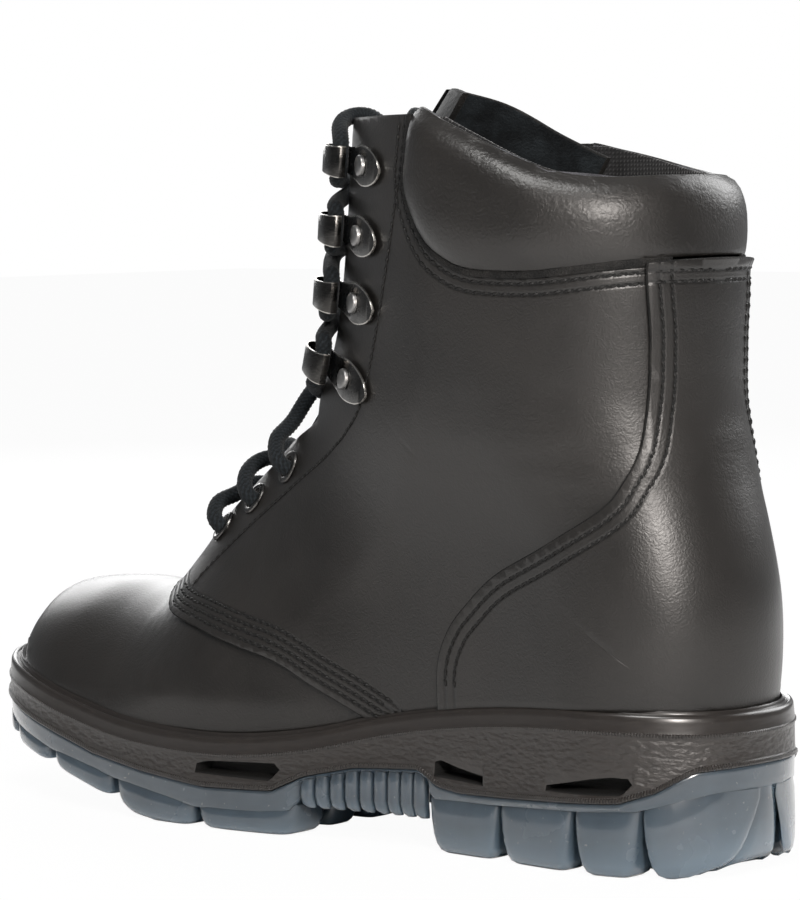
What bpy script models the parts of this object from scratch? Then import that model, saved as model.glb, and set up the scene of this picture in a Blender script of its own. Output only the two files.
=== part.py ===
"""Lace-up leather safety boot for firefighting, one left boot, built from its separate pieces.

Toe towards -X, heel towards +X, the boot's left (outer) side towards -Y, +Z up; the origin lies on the
ground under the middle of the sole's box. Lengths in this file are millimetres until MM turns them into
metres. A place on the upper is given in side view by `a`, the distance forward from the back of the
heel, and `z`, the height above the ground.
"""
import math

import bmesh
import bpy
import numpy as np
from mathutils import Matrix

for old in list(bpy.data.objects):
    bpy.data.objects.remove(old, do_unlink=True)

MM = 0.001

# ---------------------------------------------------------------- driving dimensions
SOLE_LENGTH = 312.0
HALF_LENGTH = SOLE_LENGTH / 2
GAP = 0.3                        # air left between neighbouring pieces
SNAP = 0.5                       # a point this near to a cut line is moved onto it
LEATHER = 1.9                    # thickness of the outer leathers
OVERLAY = 1.8                    # the last sits this far inside the quarters' outer face
LINING = 1.4
LACE_DIAMETER = 4.0
EYELET_HOLE = 3.5                # inner radius
EYELET_BARREL = 4.1              # outer radius of the tube through the leather
EYELET_FLANGE = 5.6
HOOK_WIDTH = 9.0
HOOK_METAL = 1.0
RIVET_RADIUS = 3.9
TONGUE_THICKNESS = 2.4
FOOTBED_THICKNESS = 5.0

# The last: side-view lines of the upper's outer surface, as (a, z).
RIDGE = [(307, 49), (308, 56), (304, 64), (293, 70.5), (270, 73), (249, 72.5), (236, 75.5), (227, 85.5),
         (216, 99), (203, 112), (190, 125), (178, 141), (170, 163), (165, 190), (161, 215), (157, 243)]
# Stations of the last and the sole, each a list of (position, value).
BACK = [(44, 10), (60, 8.2), (80, 8.2), (100, 12), (118, 17), (139, 21), (158, 21), (176, 20.5),
        (195, 22), (216, 25)]                                           # z: a of the back seam
FEATHER = [(0, 47.5), (30, 48.5), (60, 47.5), (90, 44.5), (120, 39.5), (145, 33.5), (170, 30), (200, 29.5),
           (230, 32), (250, 36), (280, 43), (312, 48)]                  # a: top of the midsole
SPLIT = [(0, 33), (8, 32), (17, 26), (27, 22.5), (71, 20.2), (88, 19.8), (97, 21), (105, 25.5), (130, 24),
         (148, 20), (160, 14.5), (187, 13.9), (213, 16.4), (237, 20), (261, 26.4), (285, 32), (312, 37)]
TREAD = [(0, 6), (12, 0), (98, 0), (101, 0), (150, 0), (215, 0), (237, 7), (260, 13.5), (285, 19),
         (312, 25)]                                                     # a: lowest points of the lugs
OUTER = [(0, 37), (45, 37.5), (90, 36), (120, 37), (150, 43.5), (185, 50), (215, 51), (250, 50), (312, 48)]
INNER = [(0, 37), (45, 36.5), (85, 33), (115, 30), (145, 35), (180, 45), (215, 51), (250, 49), (312, 46)]
SHAFT = [(60, 36), (100, 39), (139, 45), (170, 47), (200, 48), (245, 48)]   # z: half width of the shaft
SHOULDER = [(0, 24), (40, 28), (70, 36), (110, 58), (150, 68), (190, 74), (300, 74)]
FULLNESS = [(0, 2.0), (60, 2.0), (95, 1.8), (150, 1.5), (300, 1.5)]
HEEL_ROUND = [(44, 40), (90, 42), (140, 58), (220, 62)]
TOE_TIP = 308.5

# Pattern lines of the upper, as (a, z) in side view.
QUARTER_EDGE = [(228, 70), (219, 66.5), (199, 63.3), (178, 59), (163, 55.5), (149, 49), (136, 43), (122, 36)]
VAMP_EDGE = [(238, 80), (226, 76), (212, 75), (198, 72.5), (182, 68), (166, 64), (151, 58), (137, 52),
             (122, 45), (110, 36)]
BACKSTAY_EDGE = [(98, 40), (98, 58), (93.5, 69.5), (86, 78), (73.5, 88), (52.5, 98.5), (36, 109), (31, 117.5),
                 (28.5, 126), (28, 140), (27.2, 165), (28, 190)]
COLLAR_EDGE = [(94, 260), (97.5, 236), (100.5, 217), (101.5, 208), (99, 200.5), (92.5, 190.5), (84.5, 184.5),
               (75, 181.2), (57, 180.3), (44.5, 181.3), (30, 183), (14, 184.5)]
COLLAR_TOP = [(200, 239), (120, 235), (99, 231), (91.5, 228.5), (77, 222.5), (63, 216), (53, 211.8),
              (44, 209.2), (34, 208.3), (26, 208.8), (14, 209.5)]
COLLAR_TOP_INNER = [(200, 229), (120, 224), (99, 219.5), (91.5, 217.5), (77, 214.5), (63, 211.5), (53, 209.8),
                    (44, 208.8), (34, 208.3), (26, 208.8), (14, 209.5)]
STAY_LINE = [(99, 232), (106, 207), (112, 187), (119, 165), (128, 140), (137, 130), (147, 123), (171, 108.6),
             (191, 94.5), (207, 80.5), (214, 70)]
THROAT_HALF = [(60, 8), (85, 10), (120, 13), (140, 17), (160, 19), (215, 18), (245, 17)]   # z: half gap
BACKSTAY_TOP = 183.5
FACING_TOP = 228.0

# Places along the ridge (mm from the toe) and half widths of the lacing.
EYELET_ROWS = [(118.0, 17.0), (137.0, 18.0), (156.0, 19.5)]
HOOK_ROWS = [(191.0, 31.0), (211.0, 31.0), (232.0, 31.0), (253.5, 31.5)]


# ---------------------------------------------------------------- curves and the last
def through(stations, x):
    """Smooth value at x through a few (position, value) stations."""
    px, py = np.array(stations, float).T
    slope = np.gradient(py, px)
    x = np.asarray(x, float)
    i = np.clip(np.searchsorted(px, x) - 1, 0, len(px) - 2)
    h = px[i + 1] - px[i]
    t = np.clip((x - px[i]) / h, 0, 1)
    return ((1 + 2 * t) * (1 - t) ** 2 * py[i] + t * (1 - t) ** 2 * h * slope[i]
            + t * t * (3 - 2 * t) * py[i + 1] + t * t * (t - 1) * h * slope[i + 1])


def curve(points, step=3.0):
    """Smooth line through a few points, as a dense run of points."""
    p = np.array(points, float)
    ext = np.vstack([2 * p[0] - p[1], p, 2 * p[-1] - p[-2]])
    out = []
    for k in range(len(p) - 1):
        a, b, c, d = ext[k:k + 4]
        n = max(2, int(np.linalg.norm(c - b) / step))
        t = (np.arange(n) / n)[:, None]
        out.append(0.5 * (2 * b + (c - a) * t + (2 * a - 5 * b + 4 * c - d) * t ** 2
                          + (3 * b - a - 3 * c + d) * t ** 3))
    return np.vstack(out + [p[-1:]])


def lengths(line):
    """Length along a line at each of its points."""
    return np.concatenate([[0], np.cumsum(np.linalg.norm(np.diff(line, axis=0), axis=1))])


def nearest(line, a, z):
    """Signed distance from places (a, z) to a line, positive on its left, and the length along it."""
    q = np.stack([np.ravel(a), np.ravel(z)], 1)
    start = line[:-1]
    step = np.diff(line, axis=0)
    size = np.linalg.norm(step, axis=1)
    along = lengths(line)
    best = np.full(len(q), 1e9)
    sign = np.ones(len(q))
    place = np.zeros(len(q))
    for k in range(len(start)):
        w = q - start[k]
        t = np.clip(w @ step[k] / size[k] ** 2, 0, 1)
        away = np.linalg.norm(w - t[:, None] * step[k], axis=1)
        hit = away < best - 1e-9
        best[hit] = away[hit]
        sign[hit] = np.sign(step[k][0] * w[hit, 1] - step[k][1] * w[hit, 0])
        place[hit] = along[k] + t[hit] * size[k]
    shape = np.shape(a)
    return (best * sign).reshape(shape), place.reshape(shape)


def round_off(t, power=2.0):
    """Rises from 0 at an edge to 1 inside, as a rounded shoulder."""
    t = np.clip(t, 0, 1)
    return (1 - (1 - t) ** power) ** (1 / power)


ridge_line = curve(RIDGE, 2.0)
ridge_at = lengths(ridge_line)


def half_width(side, a, z):
    """Half width of the upper at a side-view place; side is -1 outer, +1 inner."""
    plan = np.where(side < 0, through(OUTER, a), through(INNER, a))
    t = np.clip((z - 60) / 75, 0, 1)
    t = t * t * (3 - 2 * t)
    lean = 1 - 0.18 * np.clip((z - 42) / 40, 0, 1) * np.clip((a - 120) / 60, 0, 1)
    width = plan * lean * (1 - t) + through(SHAFT, z) * t - OVERLAY * np.clip((215 - a) / 60, 0, 1)
    drop, place = nearest(ridge_line, a, z)
    top = round_off(np.abs(drop) / through(SHOULDER, place), through(FULLNESS, place))
    back = round_off((a - through(BACK, z)) / through(HEEL_ROUND, z), 2.15)
    toe = round_off((TOE_TIP - a) / 56, 2.2)
    return width * top * back * toe


def world(side, a, z):
    return np.stack([HALF_LENGTH - a, side * half_width(side, a, z), z], -1)


# ---------------------------------------------------------------- sheets cut from the last
LOW = np.vstack([[(a, float(through(FEATHER, a)) + 1.0) for a in np.arange(308, 10.6, -2.0)],
                 [(float(through(BACK, z)), z) for z in np.arange(49.0, 216.1, 2.0)]])
BACK_SEAM = lengths(np.array([(float(through(BACK, z)), z) for z in np.arange(49.0, 216.1, 2.0)]))[-1] + 0.1
LOW_MARKS = [(308, 49), (285, 45), (262, 39), (225, 33), (190, 31), (140, 36), (80, 46), (25, 49), (9, 50),
             (12, 100), (21, 150), (25, 216)]
RIDGE_MARKS = [(307, 49), (300, 67), (268, 73), (235, 76), (214, 101), (190, 125), (174, 150), (169, 168),
               (167, 178), (165, 190), (162, 208), (157, 243)]


def last_grid(lines, rows):
    """The upper's whole outer surface as triangles; columns of the data are a, z, x, y, z and the normal."""
    low_at = lengths(LOW)
    _, low_marks = nearest(LOW, *np.array(LOW_MARKS, float).T)
    _, ridge_marks = nearest(ridge_line, *np.array(RIDGE_MARKS, float).T)
    low_marks[0], low_marks[-1], ridge_marks[0], ridge_marks[-1] = 0, low_at[-1], 0, ridge_at[-1]
    outline = lengths(world(-1.0, LOW[:, 0], LOW[:, 1]))
    stations = np.interp(np.linspace(0, outline[-1], lines + 1), outline, low_at)
    fine = (1 - np.cos(np.pi * np.linspace(0, 1, 160))) / 2
    data, index = [], {}
    cells = {}
    for side in (-1.0, 1.0):
        for i, s in enumerate(stations):
            foot = np.array([np.interp(s, low_at, LOW[:, k]) for k in (0, 1)])
            r = np.interp(s, low_marks, ridge_marks)
            head = np.array([np.interp(r, ridge_at, ridge_line[:, k]) for k in (0, 1)])
            run = foot + (head - foot) * fine[:, None]
            place = world(side, run[:, 0], run[:, 1])
            place[-1, 1] = 0
            if s > low_at[-1] - BACK_SEAM:
                place[0, 1] = 0
            at = lengths(place)
            for j, u in enumerate(np.linspace(0, at[-1], rows + 1)):
                flat = [np.interp(u, at, run[:, k]) for k in (0, 1)]
                solid = [np.interp(u, at, place[:, k]) for k in (0, 1, 2)]
                key = tuple(np.round(solid, 1))
                if key not in index:
                    index[key] = len(data)
                    data.append(flat + solid)
                cells[side, i, j] = index[key]
    faces = []
    for side in (-1.0, 1.0):
        for i in range(lines):
            for j in range(rows):
                a, b, c, d = (cells[side, i + m, j + n] for m, n in ((0, 0), (1, 0), (1, 1), (0, 1)))
                for tri in ((a, b, c), (a, c, d)):
                    if len(set(tri)) == 3:
                        faces.append(list(tri if side < 0 else tri[::-1]))
    data = np.array(data)
    normal = np.zeros((len(data), 3))
    for face in faces:
        p = data[face, 2:5]
        across = np.cross(p[1] - p[0], p[2] - p[0])
        normal[face] += across
    normal /= np.linalg.norm(normal, axis=1)[:, None]
    return np.hstack([data, normal]), faces


def trim(sheet, rule):
    """Keep the part of a sheet where rule(a, z, y) is positive, cut cleanly along its zero line."""
    data, faces = sheet
    value = np.asarray(rule(data[:, 0], data[:, 1], data[:, 3]), float)
    value = np.where(np.abs(value) < SNAP, 0.0, value)
    rows = list(data)
    cut = {}
    kept = []
    for face in faces:
        if max(value[i] for i in face) <= 0:
            continue
        loop = []
        for i, j in zip(face, face[1:] + face[:1]):
            if value[i] >= 0:
                loop.append(i)
            if value[i] * value[j] < 0:
                lo, hi = min(i, j), max(i, j)
                if (lo, hi) not in cut:
                    t = value[lo] / (value[lo] - value[hi])
                    cut[lo, hi] = len(rows)
                    rows.append(rows[lo] * (1 - t) + rows[hi] * t)
                loop.append(cut[lo, hi])
        if len(loop) > 2:
            kept.append(loop)
    used = sorted({i for face in kept for i in face})
    place = {old: new for new, old in enumerate(used)}
    return np.array([rows[i] for i in used]), [[place[i] for i in face] for face in kept]


def beyond(line, margin=0.0, flip=1.0):
    """Rule: on the left of a pattern line (right with flip=-1), by more than margin."""
    dense = curve(line)
    return lambda a, z, y: flip * nearest(dense, a, z)[0] - margin


def left_of(side):
    return lambda a, z, y: side * y


def in_front(a, z, depth):
    """Positive within depth of the ridge, so only at the front of the upper."""
    return depth - np.abs(nearest(ridge_line, a, z)[0])


def under_collar_top(margin=0.0):
    """Rule: below the collar's top line, which is lower on the inner side."""
    outer, inner = beyond(COLLAR_TOP, margin), beyond(COLLAR_TOP_INNER, margin)
    return lambda a, z, y: np.where(y > 0, inner(a, z, y), outer(a, z, y))


def under_facing_top(a, z, y):
    """Height left under the facing's top edge, which slopes down to the collar on the inner side."""
    return FACING_TOP - z - np.where(y > 0, 1.5 + 7.5 * np.clip((155 - a) / 40, 0, 1), 0)


def outside_throat(a, z, y):
    return np.maximum(np.abs(y) - through(THROAT_HALF, z), -in_front(a, z, 34.0))


# ---------------------------------------------------------------- making objects
def finish(name, mesh, colour, roughness, metallic=0.0, smooth=True, coat=0.0):
    """Make the named object with its own material."""
    obj = bpy.data.objects.new(name, mesh)
    bpy.context.scene.collection.objects.link(obj)
    material = bpy.data.materials.new(name + "_finish")
    material.use_nodes = True
    shader = material.node_tree.nodes["Principled BSDF"]
    shader.inputs["Base Color"].default_value = (*colour, 1)
    shader.inputs["Roughness"].default_value = roughness
    shader.inputs["Metallic"].default_value = metallic
    shader.inputs["Coat Weight"].default_value = coat
    mesh.materials.append(material)
    if smooth:
        mesh.shade_smooth()
        mesh.set_sharp_from_angle(angle=math.radians(40))
    return obj


def mesh_of(name, points, faces):
    """Closed mesh from points in millimetres."""
    mesh = bpy.data.meshes.new(name)
    mesh.from_pydata([tuple(float(v) * MM for v in p) for p in points], [], [list(f) for f in faces])
    work = bmesh.new()
    work.from_mesh(mesh)
    bmesh.ops.remove_doubles(work, verts=work.verts, dist=0.02 * MM)
    bmesh.ops.dissolve_degenerate(work, edges=work.edges, dist=0.01 * MM)
    bmesh.ops.triangulate(work, faces=work.faces)
    work.to_mesh(mesh)
    work.free()
    return mesh


def shell(name, sheet, inner, outer, *look, shift=None, **more):
    """Closed piece between two offsets of a sheet, each a number or a rule of (a, z, y)."""
    data, faces = sheet
    sides = []
    for offset in (outer, inner):
        value = offset(data[:, 0], data[:, 1], data[:, 3]) if callable(offset) else offset
        sides.append(data[:, 2:5] + data[:, 5:8] * np.reshape(value, (-1, 1)))
    n = len(data)
    edges = {(i, j) for face in faces for i, j in zip(face, face[1:] + face[:1])}
    rim = [[j, i, i + n, j + n] for i, j in edges if (j, i) not in edges]
    back = [[i + n for i in reversed(face)] for face in faces]
    points = np.vstack(sides)
    if shift:
        points = points + shift(points)
    return finish(name, mesh_of(name, points, sorted(faces + back + rim)), *look, **more)


BLACK_LEATHER = ((0.020, 0.018, 0.017), 0.42)
LINING_CLOTH = ((0.030, 0.030, 0.032), 0.9)
STEEL = ((0.55, 0.56, 0.58), 0.35, 1.0)
GUNMETAL = ((0.16, 0.16, 0.17), 0.28, 1.0)
COMPOSITE = ((0.10, 0.10, 0.10), 0.5)

# ---------------------------------------------------------------- the upper
whole = last_grid(27, 7)


def above_feather(a, z, y):
    return z - through(FEATHER, a) - 4.0


def build_vamp():
    """Vamp, hard toe cap and vamp lining."""
    front = trim(whole, beyond(VAMP_EDGE))
    shell("vamp", front, -LEATHER, 0.0, *BLACK_LEATHER)
    cap = trim(trim(whole, lambda a, z, y: a - 262), above_feather)
    shell("toe_cap", cap, -4.2, -2.2, *COMPOSITE)
    inside = trim(trim(whole, beyond(VAMP_EDGE, 3.0)), above_feather)
    shell("vamp_lining", inside, -5.9, -5.9 + LINING, *LINING_CLOTH)


def build_quarters():
    """The two quarters with their facing stays and linings."""
    for side, word in ((-1, "left"), (1, "right")):
        half = trim(trim(whole, left_of(side)), outside_throat)
        panel = trim(trim(half, beyond(QUARTER_EDGE, 0.0, -1.0)), beyond(COLLAR_EDGE, 0.8))
        panel = trim(panel, lambda a, z, y: np.minimum(under_facing_top(a, z, y), np.abs(y) - 1.0))
        shell("quarter_" + word, panel, GAP, GAP + LEATHER - 0.2, *BLACK_LEATHER)
        stay = trim(trim(half, beyond(STAY_LINE)), beyond(VAMP_EDGE, 1.0, -1.0))
        stay = trim(stay, lambda a, z, y: under_facing_top(a, z, y) - 2)
        shell("facing_stay_" + word, stay, -LEATHER, 0.0, *LINING_CLOTH)
        lining = trim(trim(half, beyond(VAMP_EDGE, 1.0, -1.0)), under_collar_top(0.5))
        lining = trim(lining, lambda a, z, y: np.minimum(under_facing_top(a, z, y) - 2, np.abs(y) - 1.0))
        shell("quarter_lining_" + word, lining, -3.6, -3.6 + LINING, *LINING_CLOTH)


def build_heel():
    """Backstay over the quarters' back seam, and the stiff counter under them."""
    back = trim(trim(whole, beyond(BACKSTAY_EDGE)), beyond(COLLAR_EDGE, 0.8))
    back = trim(back, lambda a, z, y: BACKSTAY_TOP - z)
    shell("backstay", back, 2.3, 2.3 + LEATHER - 0.2, *BLACK_LEATHER)
    cup = trim(trim(whole, beyond(BACKSTAY_EDGE, 5.0)), lambda a, z, y: 104 - z)
    shell("heel_counter", cup, -LEATHER, 0.0, (0.5, 0.42, 0.32), 0.8)


def pad_height(a, z, y):
    """How far the collar's foam stands out: rising from its seam, rounding over at its top."""
    up = -nearest(curve(COLLAR_EDGE), a, z)[0]
    down = under_collar_top()(a, z, y)
    full = 1.6 + (1.2 + 4.2 * np.clip((a - 22) / 34, 0, 1)) * round_off(up / 16)
    return -1.3 + (full + 1.3) * round_off(down / 13)


def build_collar():
    """Padded collar: leather cover over foam, with a bound front edge on each side."""
    ring = trim(trim(whole, beyond(COLLAR_EDGE, 0.8, -1.0)), under_collar_top(0.6))
    shell("collar_cover", ring, lambda *p: pad_height(*p) + GAP, lambda *p: pad_height(*p) + GAP + 1.3,
          *BLACK_LEATHER)
    shell("collar_foam", ring, -LEATHER, pad_height, (0.35, 0.35, 0.33), 0.95)
    for side, word in ((-1, "left"), (1, "right")):
        strip = trim(trim(trim(whole, left_of(side)), beyond(COLLAR_EDGE, 0.8)),
                     lambda a, z, y: 3.4 - beyond(COLLAR_EDGE)(a, z, y))
        strip = trim(strip, lambda a, z, y: np.minimum(z - 188, under_facing_top(a, z, y)))
        shell("collar_binding_" + word, strip, 2.3, 4.2, *BLACK_LEATHER)


TONGUE_HALF = [(60, 20), (76, 23), (95, 30), (120, 35), (150, 38), (180, 40), (250, 40)]  # z: half width
TONGUE_TOP = [(-48, 226), (-38, 233), (-28, 236), (-12, 238), (0, 238.5), (14, 236.5), (27, 231), (38, 221),
              (48, 210)]                                           # y: top edge
TONGUE_FOOT = 231.0
TONGUE_DEEP = [(60, 11.0), (150, 11.0), (185, 12.8), (245, 12.8)]    # z: how far in its outer face lies
TONGUE_HINGE = (HALF_LENGTH - TONGUE_FOOT, 0.0, 68.0)


def tongue_edge(a, z, y):
    wider = np.where(y > 0, 6.0 * np.clip((z - 165) / 30, 0, 1), 0)
    return np.minimum(through(TONGUE_HALF, z) + wider - np.abs(y), in_front(a, z, 62.0))


def lean_back(points):
    """The free top of the tongue falls back into the shaft."""
    rise = np.clip((points[:, 2] - 195) / 45, 0, 2)
    curl = np.clip((points[:, 1] - 26) / 15, 0, 1) * np.clip((points[:, 2] - 176) / 36, 0, 1)
    return np.stack([23.5 * rise ** 1.5 + 9 * curl, 0 * rise, 0 * rise], 1)


def build_tongue():
    """Padded tongue and the two gussets that join its sides to the shaft."""
    flap = trim(trim(whole, tongue_edge), lambda a, z, y: TONGUE_FOOT - a)
    flap = trim(flap, lambda a, z, y: through(TONGUE_TOP, y) - z)

    def face(a, z, y):
        return -through(TONGUE_DEEP, z)

    def back(a, z, y):
        return -through(TONGUE_DEEP, z) - TONGUE_THICKNESS
    tongue = shell("tongue", flap, back, face, (0.022, 0.022, 0.026), 0.6, shift=lean_back)
    set_origin(tongue, TONGUE_HINGE)
    for side, word in ((-1, "left"), (1, "right")):
        strip = trim(trim(whole, left_of(side)), lambda a, z, y: 3.0 - through(TONGUE_HALF, z) + np.abs(y))
        strip = trim(strip, lambda a, z, y: np.minimum(9.0 + through(TONGUE_HALF, z) - np.abs(y),
                                                       in_front(a, z, 60.0)))
        strip = trim(trim(strip, beyond(VAMP_EDGE, 4.0, -1.0)), beyond(STAY_LINE, -22.0))
        strip = trim(strip, lambda a, z, y: np.minimum(164 - z, z - 94))
        shell("gusset_" + word, strip, -5.5, -4.3, *LINING_CLOTH)


def set_origin(obj, place):
    """Move an object's origin to a place in millimetres, leaving its mesh where it is."""
    move = [v * MM for v in place]
    obj.data.transform(Matrix.Translation([-v for v in move]))
    obj.location = move


# ---------------------------------------------------------------- the sole
SOLE_STATIONS = [0, 1.2, 4, 8, 14, 21, 24, 33, 42, 46, 60, 74, 78, 90, 100, 105, 118, 134, 148, 154, 170, 189,
                 193, 210, 227, 231, 245, 259, 263, 274, 285, 289, 298, 305, 309.5, 312]
LUG_ROWS = (0.24, 0.62)          # between these parts of the half width runs a groove
COLUMNS = [-1, -LUG_ROWS[1], -LUG_ROWS[0], LUG_ROWS[0], LUG_ROWS[1], 1]
LUG_SPANS = [(4, 21), (24, 42), (46, 74), (78, 100), (154, 189), (193, 227), (231, 259), (263, 285),
             (289, 305)]
WAIST = (100, 154)
SOLE_EDGE = 4.0                  # the sole stands this far outside the feather line


def plan(side, a, grow, start, end, heel=46.0, toe=60.0):
    """Half width of a flat outline that follows the sole."""
    width = through(OUTER if side < 0 else INNER, a) + grow
    return side * width * round_off((a - start) / heel, 2.15) * round_off((end - a) / toe, 2.2)


def plank(stations, columns, outline, bottom, top):
    """Closed flat-topped piece over stations along the sole; outline(side, a) gives its edge."""
    points = []
    for height in (top, bottom):
        for a in stations:
            for c in columns:
                y = abs(c) * float(outline(-1 if c < 0 else 1, a))
                points.append((HALF_LENGTH - a, y, float(height(a))))
    rows, wide = len(stations), len(columns)
    half = rows * wide

    def at(layer, k, j):
        return layer * half + k * wide + j
    faces = []
    for k in range(rows - 1):
        for j in range(wide - 1):
            faces.append([at(0, k, j), at(0, k, j + 1), at(0, k + 1, j + 1), at(0, k + 1, j)])
            faces.append([at(1, k, j), at(1, k + 1, j), at(1, k + 1, j + 1), at(1, k, j + 1)])
        for j, turn in ((0, 1), (wide - 1, -1)):
            faces.append([at(0, k, j), at(0, k + 1, j), at(1, k + 1, j), at(1, k, j)][::turn])
    for k, turn in ((0, -1), (rows - 1, 1)):
        for j in range(wide - 1):
            faces.append([at(0, k, j), at(0, k, j + 1), at(1, k, j + 1), at(1, k, j)][::turn])
    return points, faces


def spaced(start, end, count, ends=0.6):
    """Stations from start to end, closer together at both ends."""
    t = np.linspace(0, 1, count)
    return start + (end - start) * ((1 - ends) * t + ends * (1 - np.cos(np.pi * t)) / 2)


def board(name, start, end, grow, low, high, count, *look, **more):
    """Thin board lying on the midsole, low to high above its top, inside the upper."""
    points, faces = plank(spaced(start, end, count), (-1, 0, 1),
                          lambda side, a: plan(side, a, grow, start, end, 42.0, 54.0),
                          lambda a: through(FEATHER, a) + low, lambda a: through(FEATHER, a) + high)
    return finish(name, mesh_of(name, points, faces), *look, **more)


def tread_base(a):
    """Height of the outsole's skin between its lugs."""
    lift = 3.0 if WAIST[0] < a < WAIST[1] else 0.0
    return float(np.interp(a, *np.array(TREAD, float).T)) + 7.5 + lift


def build_outsole():
    """Translucent outsole: a skin with lugs drawn down from its underside."""
    split = np.array(SPLIT, float).T
    tread = np.array(TREAD, float).T
    points, faces = plank(SOLE_STATIONS, COLUMNS,
                          lambda side, a: plan(side, a, SOLE_EDGE, 0, SOLE_LENGTH),
                          tread_base, lambda a: np.interp(a, *split) - GAP / 2)
    mesh = mesh_from(points, faces)
    lugs = []
    for face in mesh.faces:
        middle = face.calc_center_median()
        a = HALF_LENGTH - middle.x / MM
        side = -1 if middle.y < 0 else 1
        across = abs(middle.y / MM) / abs(float(plan(side, a, SOLE_EDGE, 0, SOLE_LENGTH)))
        row = LUG_ROWS[1] < across or across < LUG_ROWS[0]
        under = face.normal.z < -0.5
        if under and row and any(lo < a < hi for lo, hi in LUG_SPANS):
            lugs.append(face)
    drawn = bmesh.ops.extrude_face_region(mesh, geom=lugs)
    bmesh.ops.delete(mesh, geom=lugs, context="FACES")
    for item in drawn["geom"]:
        if isinstance(item, bmesh.types.BMVert):
            item.co.z = float(np.interp(HALF_LENGTH - item.co.x / MM, *tread)) * MM
    return finish("outsole", closed(mesh, "outsole"), (0.30, 0.34, 0.38), 0.25, smooth=False)


def mesh_from(points, faces):
    """bmesh from points in millimetres, welded."""
    mesh = bmesh.new()
    verts = [mesh.verts.new([float(v) * MM for v in p]) for p in points]
    for face in faces:
        mesh.faces.new([verts[i] for i in face])
    bmesh.ops.remove_doubles(mesh, verts=mesh.verts, dist=0.02 * MM)
    bmesh.ops.dissolve_degenerate(mesh, edges=mesh.edges, dist=0.01 * MM)
    mesh.normal_update()
    return mesh


def closed(work, name):
    """Turn a bmesh into a triangulated mesh."""
    bmesh.ops.triangulate(work, faces=work.faces)
    mesh = bpy.data.meshes.new(name)
    work.to_mesh(mesh)
    work.free()
    return mesh


WINDOWS = [(157, 189, 17.5, 22.5), (78, 98, 24.0, 29.0), (23, 52, 25.0, 30.5)]
WINDOW_DEPTH = 5.0


def build_midsole():
    """Midsole with three wedge-shaped recesses along each side."""
    split = np.array(SPLIT, float).T
    points, faces = plank(SOLE_STATIONS, COLUMNS,
                          lambda side, a: plan(side, a, SOLE_EDGE, 0, SOLE_LENGTH),
                          lambda a: np.interp(a, *split) + GAP / 2, lambda a: through(FEATHER, a))
    midsole = finish("midsole", closed(mesh_from(points, faces), "midsole"), (0.035, 0.028, 0.024), 0.5,
                     smooth=False)
    for side in (-1, 1):
        for k, (front, rear, low, high) in enumerate(WINDOWS):
            ring = []
            for a, z in ((rear, low), (front, low + 1), (front, high), (rear, high - 1)):
                edge = float(plan(side, a, SOLE_EDGE, 0, SOLE_LENGTH))
                ring.append((HALF_LENGTH - a, edge - side * WINDOW_DEPTH, z))
                ring.append((HALF_LENGTH - a, edge + side * 4.0, z))
            inner, outer = [0, 2, 4, 6], [1, 3, 5, 7]
            sides = [[inner[i], outer[i], outer[(i + 1) % 4], inner[(i + 1) % 4]] for i in range(4)]
            work = mesh_from(ring, [inner[::-1], outer] + sides)
            bmesh.ops.recalc_face_normals(work, faces=work.faces)
            cut_with(midsole, closed(work, f"recess_{side}_{k}"))


def cut_with(obj, mesh):
    """Cut an object with a cutter that stays hidden."""
    cutter = bpy.data.objects.new(mesh.name + "_cutter", mesh)
    bpy.context.scene.collection.objects.link(cutter)
    cutter.hide_render = True
    cutter.display_type = "WIRE"
    cut = obj.modifiers.new(mesh.name, "BOOLEAN")
    cut.operation = "DIFFERENCE"
    cut.object = cutter


def build_inside():
    """What lies between the midsole and the foot, bottom to top."""
    board("penetration_plate", 14, 298, -8.5, 0.3, 0.9, 18, *STEEL)
    shank = [(HALF_LENGTH - a, y, float(through(FEATHER, a)) + h)
             for h in (2.4, 1.2) for a in (72, 90, 110, 130, 150, 168) for y in (-7, 7)]
    faces = []
    for k in range(5):
        i = 2 * k
        faces += [[i, i + 1, i + 3, i + 2], [i + 12, i + 14, i + 15, i + 13],
                  [i, i + 2, i + 14, i + 12], [i + 1, i + 13, i + 15, i + 3]]
    faces += [[0, 12, 13, 1], [10, 11, 23, 22]]
    finish("shank", mesh_of("shank", shank, faces), *STEEL, smooth=False)
    board("insole_board", 13, 299, -8.2, 2.7, 4.7, 18, (0.42, 0.30, 0.20), 0.9)
    footbed = board("footbed", 15.5, 290, -13.4, 5.0, 5.0 + FOOTBED_THICKNESS, 22, (0.05, 0.05, 0.06), 0.9)
    set_origin(footbed, FOOTBED_HINGE)


FOOTBED_HINGE = (HALF_LENGTH - 288, 0.0, float(through(FEATHER, 288)) + 5.0)


# ---------------------------------------------------------------- eyelets, hooks and lace
TRACE = np.linspace(0, 60, 121)


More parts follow.
